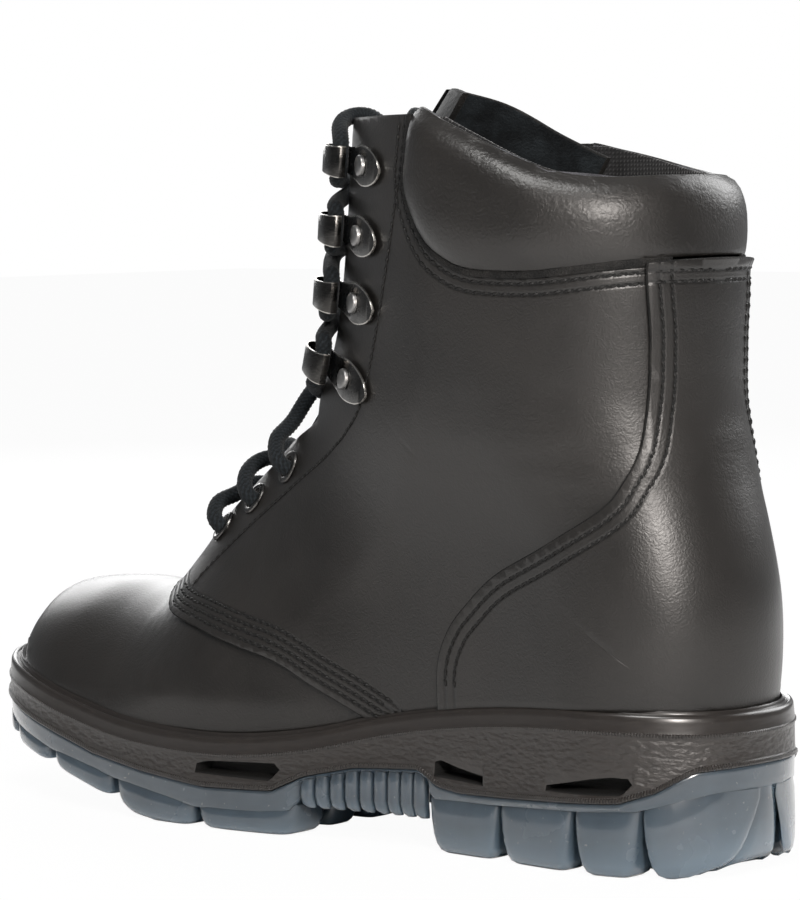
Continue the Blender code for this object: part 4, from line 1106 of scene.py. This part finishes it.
def build_collar():
    ring = trim(trim(whole, beyond(COLLAR_EDGE, 0.8, -1.0)), under_collar_top(0.3))
    cover = panel("collar_leather", ring, (lambda *p: collar_height(*p) - COLLAR_LEATHER, collar_height),
                  [COLLAR_LOOK] * 3, "boot", ["collar_cover"], form=collar_form,
                  crease=collar_crease)
    for side, word in WORDS:
        strip = trim(trim(half_of[side], beyond(COLLAR_EDGE, -0.4)),
                     lambda a, z, y: 1.5 - beyond(COLLAR_EDGE)(a, z, y))
        strip = trim(strip, lambda a, z, y: np.minimum(a - 24, under_facing_top(a, z, y)))
        panel("collar_edge_strip_" + word, strip, STRIP_FACES, [EDGE_LOOK] * 3, "boot",
              ["collar_binding_" + word], round_edge=0.4)


def build_tongue():
    flap = trim(trim(whole, tongue_edge), lambda a, z, y: TONGUE_FOOT - a)
    flap = trim(flap, lambda a, z, y: through(TONGUE_TOP, y) - z)
    flap = trim(flap, lambda a, z, y: y + 31 + 9 * np.clip((226 - z) / 22, 0, 1))

    def ripple(data):
        return 0.5 * bumps(data[:, 2:5], 26, 7.0) + 0.2 * bumps(data[:, 2:5], 8, 2.0)

    def front_face(a, z, y):
        return -through(TONGUE_DEEP, z)
    panel("tongue_leather", flap, (lambda *p: front_face(*p) - TONGUE_LEATHER, front_face),
          [GUSSET_LOOK, SUEDE_LOOK, EDGE_LOOK], "tongue", ["tongue"], form=ripple, shift=lean_back)
    for side, word in WORDS:
        strip = trim(half_of[side], lambda a, z, y: 3.0 - through(TONGUE_HALF, z) + np.abs(y))
        strip = trim(strip, lambda a, z, y: np.minimum(9.0 + through(TONGUE_HALF, z) - np.abs(y),
                                                       in_front(a, z, 60.0)))
        strip = trim(trim(strip, beyond(VAMP_EDGE, 4.0, -1.0)), beyond(STAY_LINE, -22.0))
        strip = trim(strip, lambda a, z, y: np.minimum(164 - z, z - 94))
        fold = panel("gusset_leather_" + word, strip, GUSSET_FACES, [GUSSET_LOOK] * 3, None,
                     ["gusset_" + word], form=None)
        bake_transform(fold)


# ---------------------------------------------------------------- midsole and outsole
SOLE_EDGE = 4.0                  # the sole's edge stands this far outside the last
AROUND_STEPS = 250


def sole_edge(side, a, grow=SOLE_EDGE):
    """Distance of the sole's edge from the middle line, on one side."""
    return plan(side, a, grow, 0, SOLE_LENGTH)


def straight(stations, a):
    """Value at a on the straight runs between (position, value) stations."""
    return float(np.interp(a, *np.array(stations, float).T))


def sole_outline():
    """Closed outline of the sole seen from above: points (a, y), outward directions and length along it."""
    t = np.linspace(0, 1, AROUND_STEPS + 1)
    a = SOLE_LENGTH * (0.35 * t + 0.65 * (1 - np.cos(np.pi * t)) / 2)
    left = np.stack([a, sole_edge(-1, a)], 1)
    right = np.stack([a, sole_edge(1, a)], 1)[::-1]
    ring = np.vstack([left, right[1:-1]])
    run = np.roll(ring, -1, 0) - np.roll(ring, 1, 0)
    run /= np.linalg.norm(run, axis=1)[:, None]
    out = np.stack([run[:, 1], -run[:, 0]], 1)
    at = lengths(np.vstack([ring, ring[:1]]))[:-1]
    if np.mean(out[:, 1] * ring[:, 1]) < 0:
        out = -out
    return ring, out, at


def swept_band(name, profile, looks, body, stands_for, marks, fill=None):
    """Closed band round the sole.

    profile(a) gives rows of (outset, z, marks...) for a station; row number fill is spanned across the sole.
    """
    ring, out, at = sole_outline()
    rows = np.stack([profile(a) for a, _ in ring])
    count, wide = rows.shape[:2]
    flat = ring[:, None, :] + out[:, None, :] * rows[:, :, :1]
    points = np.stack([HALF_LENGTH - flat[..., 0], flat[..., 1], rows[..., 1]], -1).reshape(-1, 3)
    faces = []
    for k in range(count):
        m = (k + 1) % count
        for i in range(wide):
            j = (i + 1) % wide
            faces.append([k * wide + i, k * wide + j, m * wide + j, m * wide + i])
    if fill is not None:
        for k in range(count // 2):
            loop = [m * wide + fill for m in (k, k + 1, (count - k - 1) % count, (count - k) % count)]
            faces.append(sorted(set(loop), key=loop.index))
    data = {key: rows[..., 2 + n].reshape(-1) for n, key in enumerate(marks)}
    data["around"] = np.repeat(at, wide) * MM
    obj = add(name, points, faces, looks, body, stands_for, 40, data)
    mend(obj, 0.01, collapse=True)
    return obj


SPLIT_GAP = 0.15                 # half the gap left between midsole and outsole
# Outlines of the dark recesses in the midsole's side, as (a, z).
WINDOWS = [[(189.5, 18.2), (188.6, 21.4), (184, 22.6), (158.5, 23.6), (156.5, 21.6), (161, 17.6)],
           [(98.5, 24.0), (98.0, 28.8), (95.5, 29.6), (85, 27.2), (78.4, 26.2), (78.4, 23.0)],
           [(52.5, 24.4), (52, 26.2), (28.5, 30.6), (24, 30.4), (22.8, 28.6), (26.5, 24.9)]]


def build_midsole():
    def profile(a):
        top = float(through(FEATHER, a))
        low = straight(SPLIT, a) + SPLIT_GAP
        tall = top - 5.3 - low
        #       outset, z, wall, lip
        return np.array([(-13, top - 1.5, 0, 0), (-5.4, top - 0.6, 0, 0), (-4.4, top + 1.7, 0, 0),
                         (-3.9, top + 2.0, 0, 0), (-3.6, top + 1.5, 0, 0), (-3.45, top + 0.9, 0, 0),
                         (-3.1, top + 1.2, 0, 0), (-2.8, top + 0.6, 0, 0), (-2.6, top + 0.3, 0, 0),
                         (-2.1, top + 0.9, 0, 0), (-1.5, top + 1.1, 0, 0), (-0.9, top + 0.8, 0, 0),
                         (-0.5, top + 0.1, 0, 0), (-0.35, top - 1.2, 0, 0), (-0.2, top - 3.0, 0.05, 0),
                         (0.0, top - 4.3, 0.1, 0), (0.35, top - 4.6, 0, 1), (0.35, top - 5.1, 0, 1),
                         (0.0, top - 5.5, 0.6, 0), (-0.1, top - 6.6, 1, 0), (-0.1, low + tall * 0.6, 1, 0),
                         (-0.05, low + 2.6, 1, 0), (0.1, low + 1.7, 0.4, 0), (0.65, low + 1.3, 0, 1),
                         (0.8, low + 0.5, 0, 1), (0.5, low, 0, 0), (-13, low, 0, 0)], float)
    band = swept_band("midsole_unit", profile, [MIDSOLE_LOOK, RECESS_LOOK], "boot", ["midsole"],
                      ("wall", "lip"))
    for side, _ in WORDS:
        for k, ring in enumerate(WINDOWS):
            cut_window(band, side, k, ring)


def cut_window(band, side, number, ring):
    """Blind wedge-shaped recess with a sloping floor."""
    points = []
    middle = np.mean([z for _, z in ring])
    for depth, tall in ((-7.5, 0.72), (4.0, 1.1)):
        for a, z in ring:
            y = float(sole_edge(side, a)) + side * depth
            points.append((HALF_LENGTH - a, y, middle + (z - middle) * tall))
    faces = tube(0, 2, len(ring))
    cutter = add(f"window_cutter_{side}_{number}", points, faces, [MIDSOLE_LOOK, RECESS_LOOK], None,
                 pick=[1] * len(faces))
    mend(cutter)
    cutter.data.shade_flat()
    cut = band.modifiers.new("window", "BOOLEAN")
    cut.operation = "DIFFERENCE"
    cut.object = cutter
    apply_modifiers(band)
    bpy.data.objects.remove(cutter)


def apply_modifiers(obj):
    """Make an object's modified shape its own mesh."""
    graph = bpy.context.evaluated_depsgraph_get()
    mesh = bpy.data.meshes.new_from_object(obj.evaluated_get(graph), preserve_all_data_layers=True,
                                           depsgraph=graph)
    old = obj.data
    obj.modifiers.clear()
    obj.data = mesh
    bpy.data.meshes.remove(old)


# Lugs from heel to toe, as (start, end), and the tops of the grooves between them, as (a, z).
HEEL_LUGS = [(1.3, 20.5), (23.0, 42.0), (45.0, 72.5), (75.0, 101.5)]
FORE_LUGS = [(154.0, 190.0), (193.0, 228.0), (231.0, 259.5), (262.5, 285.0), (288.0, 306.0)]
GROOVE = [(0, 24), (6, 24.5), (22, 20), (43, 18.8), (78, 17), (100, 16.5), (103, 20), (150, 14), (154, 8.4),
          (165, 6.6), (191, 6.6), (229, 12.5), (261, 19), (287, 25), (312, 31)]
LUG_SIDES = 32
LUG_SQUARE = 0.36                # 1 gives round lugs, near 0 square ones
# A lug's rings: part of its height, inset along and across the sole, and how pale it is painted: pale low
# down as painted light, dark up in the grooves as painted shade.
LUG_LEVELS = [(1.0, -1.3, 1.2, 0.0), (0.85, -1.1, 0.15, 0.0), (0.55, -0.5, -0.1, 0.15), (0.32, 0.3, 0.0, 0.5),
              (0.16, 1.1, 0.5, 0.9), (0.05, 2.2, 1.5, 1.0), (0.0, 3.6, 3.0, 1.0)]
RIB_SIDES = 14


def under_arch(a):
    """1 under the arch, 0 elsewhere."""
    return float(np.clip((a - 101) / 3, 0, 1) * np.clip((153 - a) / 3, 0, 1))


def lug(points, faces, painted_pale_parts, side, start, end, inner, outer):
    """One rounded lug between two stations and two fractions of the sole's half width."""
    middle_a, half_a = (start + end) / 2, (end - start) / 2
    middle_c, half_c = (inner + outer) / 2, (outer - inner) / 2
    width = abs(float(sole_edge(side, middle_a)))
    faces.extend(tube(len(points), len(LUG_LEVELS), LUG_SIDES))
    for part, inset, across, low in LUG_LEVELS:
        for turn in circle(LUG_SIDES):
            along = math.copysign(abs(math.cos(turn)) ** LUG_SQUARE, math.cos(turn))
            over = math.copysign(abs(math.sin(turn)) ** LUG_SQUARE, math.sin(turn))
            a = middle_a + along * max(0.4, half_a - inset)
            c = middle_c + over * max(0.02, half_c - across / max(width, 12))
            y = c * float(sole_edge(side, np.clip(a, 0.3, SOLE_LENGTH - 0.3), SOLE_EDGE - 0.3))
            ground = straight(TREAD, a)
            tall = straight(GROOVE, np.clip(a, start, end)) - ground + 1.6
            points.append((HALF_LENGTH - a, y, ground + part * tall))
            # low is how pale the ring is painted: painted light at the bottom, painted shade up in the
            # groove.
            painted_pale_parts.append(low)


def rib(points, faces, painted_pale_parts, side, a):
    """One upright rounded rib under the arch."""
    top = straight(SPLIT, a) - 0.6
    edge = abs(float(sole_edge(side, a)))
    levels = [(top, 2.5, 2.0), (top - 3.0, 2.7, 1.6), (14.0, 2.7, 1.4), (11.0, 2.4, 2.0), (9.6, 1.5, 3.2)]
    faces.extend(tube(len(points), len(levels), RIB_SIDES))
    for z, fat, back in levels:
        for turn in circle(RIB_SIDES):
            points.append((HALF_LENGTH - a + fat * math.cos(turn),
                           side * (edge - back - 1.6 + fat * 0.9 * math.sin(turn)), z))
            # Ribs are painted paler low down and darker up under the sole: painted light and painted shade.
            painted_pale_parts.append(0.5 if z < 12 else 0.0)


def build_outsole():
    def profile(a):
        top = straight(SPLIT, a) - SPLIT_GAP
        low = min(straight(GROOVE, a), top - 2.2)
        side_in = -0.35 - 3.5 * under_arch(a)
        # Third column: how pale the skin is painted at its lower edge, painted light; darker higher up as
        # painted shade.
        return np.array([(-14, top, 0), (-0.4, top, 0), (-0.15, top - 0.5, 0), (side_in * 0.6, top - 1.4, 0),
                         (side_in, (top + low) / 2, 0), (side_in - 0.1, low + 1.2, 0.1),
                         (side_in - 0.7, low + 0.3, 0.3), (side_in - 2.2, low, 0.3), (-14, low, 0.2)], float)
    swept_band("outsole_skin", profile, [TREAD_LOOK], "boot", ["outsole"], ("painted_pale_low_edge",), fill=8)
    points, faces, painted_pale_parts = [], [], []
    inner_lugs = HEEL_LUGS[1:] + FORE_LUGS[:-1]
    for side, _ in WORDS:
        for start, end in HEEL_LUGS + FORE_LUGS:
            lug(points, faces, painted_pale_parts, side, start, end, 0.60, 1.0)
        for start, end in inner_lugs:
            lug(points, faces, painted_pale_parts, side, start + 1, end - 1, 0.27, 0.55)
        for a in np.linspace(106.5, 148.5, 9):
            rib(points, faces, painted_pale_parts, side, float(a))
    for start, end in inner_lugs:
        lug(points, faces, painted_pale_parts, 1, start, end, -0.20, 0.20)
    lug(points, faces, painted_pale_parts, 1, *HEEL_LUGS[0], -0.52, 0.52)
    obj = add("outsole_lugs", points, faces, [TREAD_LOOK], "boot", (), 50, {"painted_pale_low_edge": painted_pale_parts})
    mend(obj)


# ---------------------------------------------------------------- footbed
FOOTBED_ENDS = (15.5, 290.0)


def build_footbed():
    """Thin cupped footbed, thicker toward its rounded edge."""
    rows, across = 70, 25
    start, end = FOOTBED_ENDS
    t = np.linspace(0, 1, rows)
    stations = start + (end - start) * (0.3 * t + 0.7 * (1 - np.cos(np.pi * t)) / 2)
    points, faces = [], []
    for level in (1, 0):
        for a in stations:
            for c in np.linspace(-1, 1, across):
                side = -1 if c < 0 else 1
                y = abs(c) * float(plan(side, a, -13.4, start, end, 42.0, 54.0))
                base = float(through(FEATHER, a))
                cup = 1.2 * abs(c) ** 4 * np.clip((150 - a) / 80, 0, 1)
                rim = round_off((1 - abs(c)) * 9, 2.0) * round_off(min(a - start, end - a) / 3 + 0.05, 2.0)
                points.append((HALF_LENGTH - a, y, base + 5.0 + (2.2 + 2.7 * float(rim) + cup) * level))
    size = rows * across

    def at(level, k, j):
        return level * size + k * across + j
    for k in range(rows - 1):
        for j in range(across - 1):
            faces.append([at(0, k, j), at(0, k, j + 1), at(0, k + 1, j + 1), at(0, k + 1, j)])
            faces.append([at(1, k, j), at(1, k + 1, j), at(1, k + 1, j + 1), at(1, k, j + 1)])
        for j in (0, across - 1):
            faces.append([at(0, k, j), at(0, k + 1, j), at(1, k + 1, j), at(1, k, j)])
    for k in (0, rows - 1):
        for j in range(across - 1):
            faces.append([at(0, k, j), at(0, k, j + 1), at(1, k, j + 1), at(1, k, j)])
    bed = add("footbed_pad", points, faces, [FOOTBED_LOOK], "footbed", ["footbed"], 50)
    mend(bed, 0.02)


# ---------------------------------------------------------------- eyelets, hooks, rivets
def local_frame(place, y):
    """Centre, outward normal, direction up the lacing and direction away from the middle."""
    centre, out = on_last(place, y)
    up = lifted(place + 2, y, 0) - lifted(place - 2, y, 0)
    up /= np.linalg.norm(up)
    aside = np.cross(up, out)
    aside /= np.linalg.norm(aside)
    if aside[1] * y < 0:
        aside = -aside
    return centre, out, np.cross(aside, out), aside


def lathe(name, place, y, profile, sides, look, stands_for):
    """Turned ring or cap standing on the facing; profile runs from the outside edge."""
    centre, out, up, aside = local_frame(place, y)
    points, faces = [], []
    for turn in circle(sides):
        for r, off in profile:
            points.append(centre + out * off + (aside * math.cos(turn) + up * math.sin(turn)) * r)
    n = len(profile)
    closed = profile[0][0] > 0 and profile[-1][0] > 0
    for k in range(sides):
        m = (k + 1) % sides
        for i in range(n if closed else n - 1):
            j = (i + 1) % n
            faces.append([k * n + i, m * n + i, m * n + j, k * n + j])
    mend(add(name, points, faces, [look], "boot", stands_for, 35), 0.01)


# Eyelet and rivet sections as (radius, height above the last).
EYELET_RING = [(3.5, -4.3), (3.5, 2.6), (3.7, 3.05), (4.2, 3.3), (4.9, 3.25), (5.4, 3.0), (5.6, 2.6),
               (5.5, 2.35), (4.1, 2.3), (4.1, -4.3)]
RIVET_DOME = [(3.35, 4.05), (3.35, 4.9), (3.2, 5.25), (2.8, 5.5), (1.9, 5.68), (0.9, 5.74), (0.0, 5.75)]


def build_eyelets():
    for side, word in WORDS:
        for row, (place, y) in enumerate(EYELET_ROWS, 1):
            name = f"eyelet_{word}_{row}"
            lathe("ring_of_" + name, place, side * y, EYELET_RING, 40, EYELET_LOOK, [name])


# A hook's side view past its plate, as (distance outward from the rivet, height above the last).
HOOK_RUN = [(-5.0, 3.6), (-9.3, 4.1), (-12.2, 6.0), (-13.0, 8.7), (-11.4, 11.0), (-8.2, 11.7), (-5.2, 10.9),
            (-4.0, 9.0), (-4.2, 7.0)]
HOOK_PROBES = np.linspace(-14.0, 7.0, 9)
HOOK_PLATE = 6.4                 # radius of the plate under the rivet
HOOK_STRAP = 4.3                 # half width of the strap that curls over the lace
HOOK_HALF = 0.45                 # half the metal's thickness
HOOK_LEVEL = 3.6                 # height of the plate's middle above the last
# The strap's section, as parts of its half width and half thickness; two of its faces are the flat ones.
HOOK_SECTION = [(-1.0, -0.5), (-0.93, -0.95), (0.93, -0.95), (1.0, -0.5), (1.0, 0.5), (0.93, 0.95),
                (-0.93, 0.95), (-1.0, 0.5)]
HOOK_FLATS = (1, 5)


def hook_line():
    """A hook's side view as points, their normals, and its half width at each."""
    reach = HOOK_PLATE * np.sin(np.linspace(0.5 * np.pi, 0, 12))[:-1]
    reach = np.append(reach, np.linspace(0, HOOK_RUN[0][0], 5))[:-1]
    run = np.vstack([np.stack([reach, np.full(len(reach), HOOK_LEVEL)], 1), curve(HOOK_RUN, 0.8)])
    way = np.gradient(run, axis=0)
    way /= np.linalg.norm(way, axis=1)[:, None]
    normal = np.stack([-way[:, 1], way[:, 0]], 1)
    if normal[0, 1] < 0:
        normal = -normal
    wide = []
    for dy in run[:, 0]:
        if dy > 0:
            wide.append(math.sqrt(max(0.6, HOOK_PLATE ** 2 - dy ** 2)))
        else:
            narrow = float(round_off((-dy - 1.0) / 8.5, 1.6))
            wide.append(HOOK_STRAP + (HOOK_PLATE - HOOK_STRAP) * (1 - narrow))
    return run, normal, wide


def build_hooks():
    """Speed hooks: a rounded plate under the rivet, drawn in and curled back over the lace."""
    run, normal, wide = hook_line()
    sides = len(HOOK_SECTION)
    faces = tube(0, len(run), sides)
    # The strap's edges and end caps take the paler metal, a painted highlight; its two flat faces take the
    # black nickel.
    pick = [0 if i in HOOK_FLATS else 1 for i in range(sides)] * (len(run) - 1) + [1, 1]
    for side, word in WORDS:
        for row, (place, y) in enumerate(HOOK_ROWS, 1):
            _, out, up, _ = local_frame(place, side * y)
            spots = np.array([on_last(place, side * (y + dy))[0] for dy in HOOK_PROBES])
            bend = [np.polyfit(HOOK_PROBES, spots[:, k], 2) for k in range(3)]
            points = []
            for (dy, off), (ny, noff), w in zip(run, normal, wide):
                spot = np.array([np.polyval(fit, dy) for fit in bend])
                along = np.array([np.polyval(np.polyder(fit), dy) for fit in bend])
                along /= np.linalg.norm(along)
                lean = np.cross(along, up)
                lean *= np.sign(lean @ out) / np.linalg.norm(lean)
                for over, face in HOOK_SECTION:
                    points.append(spot + lean * (off + face * noff * HOOK_HALF)
                                  + along * face * ny * HOOK_HALF + up * over * w)
            name = f"hook_{word}_{row}"
            mend(add("curl_of_" + name, points, faces, [HOOK_LOOK, HOOK_EDGE_HIGHLIGHT_LOOK], "boot", [name], 35,
                     pick=pick))
            name = f"rivet_{word}_{row}"
            lathe("dome_of_" + name, place, side * y, RIVET_DOME, 36, RIVET_LOOK, [name])


# ---------------------------------------------------------------- lace
LACE_RADIUS = 2.6
LACE_SIDES = 24
LACE_STEP = 0.42                 # distance between its rings
BRAID_PITCH = 6.4                # length of one turn of a strand
STRANDS = 4
TIP_SIDES = 20
# A tip's section, as (distance along, radius).
TIP_PROFILE = [(0.3, 0.2), (0.3, 1.7), (0.8, 1.9), (9.0, 1.8), (16.5, 1.7), (17.6, 1.45), (18.0, 0.9),
               (18.0, 0.2)]


def build_lace():
    """Round braided lace along the same route, with raised crossing strands."""
    path = curve(np.array([lifted(*p) for p in lace_route()]), 1.5)
    at = lengths(path)
    count = int(at[-1] / LACE_STEP)
    stops = np.linspace(0, at[-1], count)
    line = np.stack([np.interp(stops, at, path[:, k]) for k in range(3)], 1)
    for _ in range(6):
        line[1:-1] = (line[:-2] + 2 * line[1:-1] + line[2:]) / 4
    tangent = np.gradient(line, axis=0)
    tangent /= np.linalg.norm(tangent, axis=1)[:, None]
    side = np.cross(tangent[0], (0.0, 0.0, 1.0))
    side /= np.linalg.norm(side)
    turn = np.array(circle(LACE_SIDES))
    points, crowns = [], []
    for k in range(count):
        side = side - tangent[k] * (side @ tangent[k])
        side /= np.linalg.norm(side)
        third = np.cross(tangent[k], side)
        phase = stops[k] * 2 * np.pi / BRAID_PITCH
        strand = np.abs(np.sin(STRANDS * turn + 2 * phase)) * np.abs(np.sin(STRANDS * turn - 2 * phase))
        fat = LACE_RADIUS * (0.93 + 0.13 * strand)
        ring = np.cos(turn)[:, None] * side + np.sin(turn)[:, None] * third
        points.append(line[k] + fat[:, None] * ring)
        crowns.append(strand)
    add("braided_lace", np.vstack(points), tube(0, count, LACE_SIDES), [LACE_LOOK], "boot", ["lace"],
        80, {"crown": np.concatenate(crowns)})
    build_tip("left", line[0], line[6])
    build_tip("right", line[-1], line[-7])


def build_tip(word, end, before):
    """Hard tip on one end of the lace, in line with its last stretch."""
    way = (end - before) / np.linalg.norm(end - before)
    side = np.cross(way, (0, 0, 1.0))
    side /= np.linalg.norm(side)
    third = np.cross(side, way)
    points = []
    for along, fat in TIP_PROFILE:
        for turn in circle(TIP_SIDES):
            points.append(end + way * along + (side * math.cos(turn) + third * math.sin(turn)) * fat)
    name = "aglet_" + word
    faces = tube(0, len(TIP_PROFILE), TIP_SIDES)
    add("tip_of_" + name, points, faces, [AGLET_LOOK], "boot", [name], 40)


INNER_FINISHES = {"vamp_lining": LINING_LOOK, "toe_cap": STIFFENER_LOOK, "facing_stay_left": EDGE_LOOK,
                  "facing_stay_right": EDGE_LOOK, "heel_counter": STIFFENER_LOOK, "collar_foam": FOAM_LOOK,
                  "penetration_plate": PLAIN_STEEL, "shank": PLAIN_STEEL, "insole_board": BOARD_LOOK}


def dress_inner_pieces():
    """Hidden pieces keep their solids and only get a finish."""
    for name, look in INNER_FINISHES.items():
        for slot in frame["nodes"][name].material_slots:
            slot.material = look


build_vamp()
build_quarters()
build_heel()
build_collar()
build_tongue()
build_midsole()
build_outsole()
build_footbed()
build_eyelets()
build_hooks()
build_lace()
dress_inner_pieces()


# ---------------------------------------------------------------- floor, light and camera
# Name, place, aim, size (m), power (W) and tint of each lamp.
LAMPS = [("high_softbox", (0.35, -0.65, 1.35), (0, 0, 0.1), 0.55, 13, (1.0, 0.99, 0.97)),
         ("heel_softbox", (1.05, -0.72, 0.55), (0.1, 0, 0.08), 0.20, 14, (1.0, 0.94, 0.89)),
         ("toe_softbox", (-1.2, 0.9, 0.75), (-0.1, 0, 0.08), 0.9, 13, (1.0, 1.0, 1.0)),
         ("inner_softbox", (0.3, 1.2, 0.8), (0, 0, 0.1), 0.8, 11, (1.0, 1.0, 1.0))]
FLOOR_HALF = 6.0                 # half the floor's width in metres
FLOOR_GLOW = 0.96                # how far the floor is seen as plain white
ROOM_LIGHT = 0.20


def mixed_for_camera(tree, share, lit, seen, output):
    """Surface or world that the eye sees as one shader and the light as another."""
    both = node(tree, "ShaderNodeMixShader")
    eye = node(tree, "ShaderNodeLightPath").outputs["Is Camera Ray"]
    for socket, value in ((both.inputs[0], times(tree, eye, share)), (both.inputs[1], lit.outputs[0]),
                          (both.inputs[2], seen.outputs[0]), (output.inputs[0], both.outputs[0])):
        feed(tree, socket, value)


def build_floor():
    """Pale floor that fades into white for the eye."""
    look, tree, shader = material("pale_floor", Base_Color=(0.85, 0.85, 0.85), Roughness=0.7,
                                  Specular_IOR_Level=0.1)
    glow = node(tree, "ShaderNodeEmission")
    mixed_for_camera(tree, FLOOR_GLOW, shader, glow, tree.nodes["Material Output"])
    mesh = bpy.data.meshes.new("floor")
    corners = [(x * FLOOR_HALF, y * FLOOR_HALF, 0) for x, y in ((-1, -1), (1, -1), (1, 1), (-1, 1))]
    mesh.from_pydata(corners, [], [[0, 1, 2, 3]])
    mesh.materials.append(look)
    floor = bpy.data.objects.new("floor", mesh)
    bpy.context.scene.collection.objects.link(floor)


def build_world():
    """White surroundings for the eye, a dimmer one for lighting."""
    look = bpy.data.worlds.new("studio_world")
    look.use_nodes = True
    tree = look.node_tree
    lighting = tree.nodes["Background"]
    seen = node(tree, "ShaderNodeBackground")
    for item, colour, power in ((lighting, (0.95, 0.97, 1.0, 1), ROOM_LIGHT), (seen, (1, 1, 1, 1), 1.0)):
        item.inputs[0].default_value = colour
        item.inputs[1].default_value = power
    mixed_for_camera(tree, 1.0, lighting, seen, tree.nodes["World Output"])
    bpy.context.scene.world = look
    bpy.context.scene.view_settings.view_transform = "Standard"


def build_lamps():
    """Soft lamps round the boot."""
    for name, place, target, size, power, tint in LAMPS:
        data = bpy.data.lights.new(name, "AREA")
        data.size = size
        data.energy = power
        data.color = tint
        lamp = bpy.data.objects.new(name, data)
        lamp.location = place
        lamp.rotation_euler = (Vector(target) - Vector(place)).to_track_quat("-Z", "Y").to_euler()
        lamp.visible_camera = False
        bpy.context.scene.collection.objects.link(lamp)


CAMERA_ANGLES = (42.28, 4.11, -0.8)              # turn round the boot, pitch down and roll, in degrees
CAMERA_PLACE = (0.80198, -0.87228, 0.20575)      # in metres
CAMERA_LENS = 145.63
SENSOR_HEIGHT = 36.0


def build_camera():
    """Long lens a little above the boot, behind its outer side."""
    turn, pitch, roll = (math.radians(angle) for angle in CAMERA_ANGLES)
    forward = Vector((-math.sin(turn) * math.cos(pitch), math.cos(turn) * math.cos(pitch), -math.sin(pitch)))
    right = Vector((math.cos(turn), math.sin(turn), 0.0))
    up = right.cross(forward)
    across = right * math.cos(roll) + up * math.sin(roll)
    above = up * math.cos(roll) - right * math.sin(roll)
    data = bpy.data.cameras.new("camera")
    data.sensor_fit = "VERTICAL"
    data.sensor_height = SENSOR_HEIGHT
    data.lens = CAMERA_LENS
    camera = bpy.data.objects.new("camera", data)
    grid = Matrix((across, above, -forward)).transposed().to_4x4()
    grid.translation = Vector(CAMERA_PLACE)
    camera.matrix_world = grid
    bpy.context.scene.collection.objects.link(camera)
    bpy.context.scene.camera = camera


build_floor()
build_world()
build_lamps()
build_camera()

bpy.context.view_layer.update()
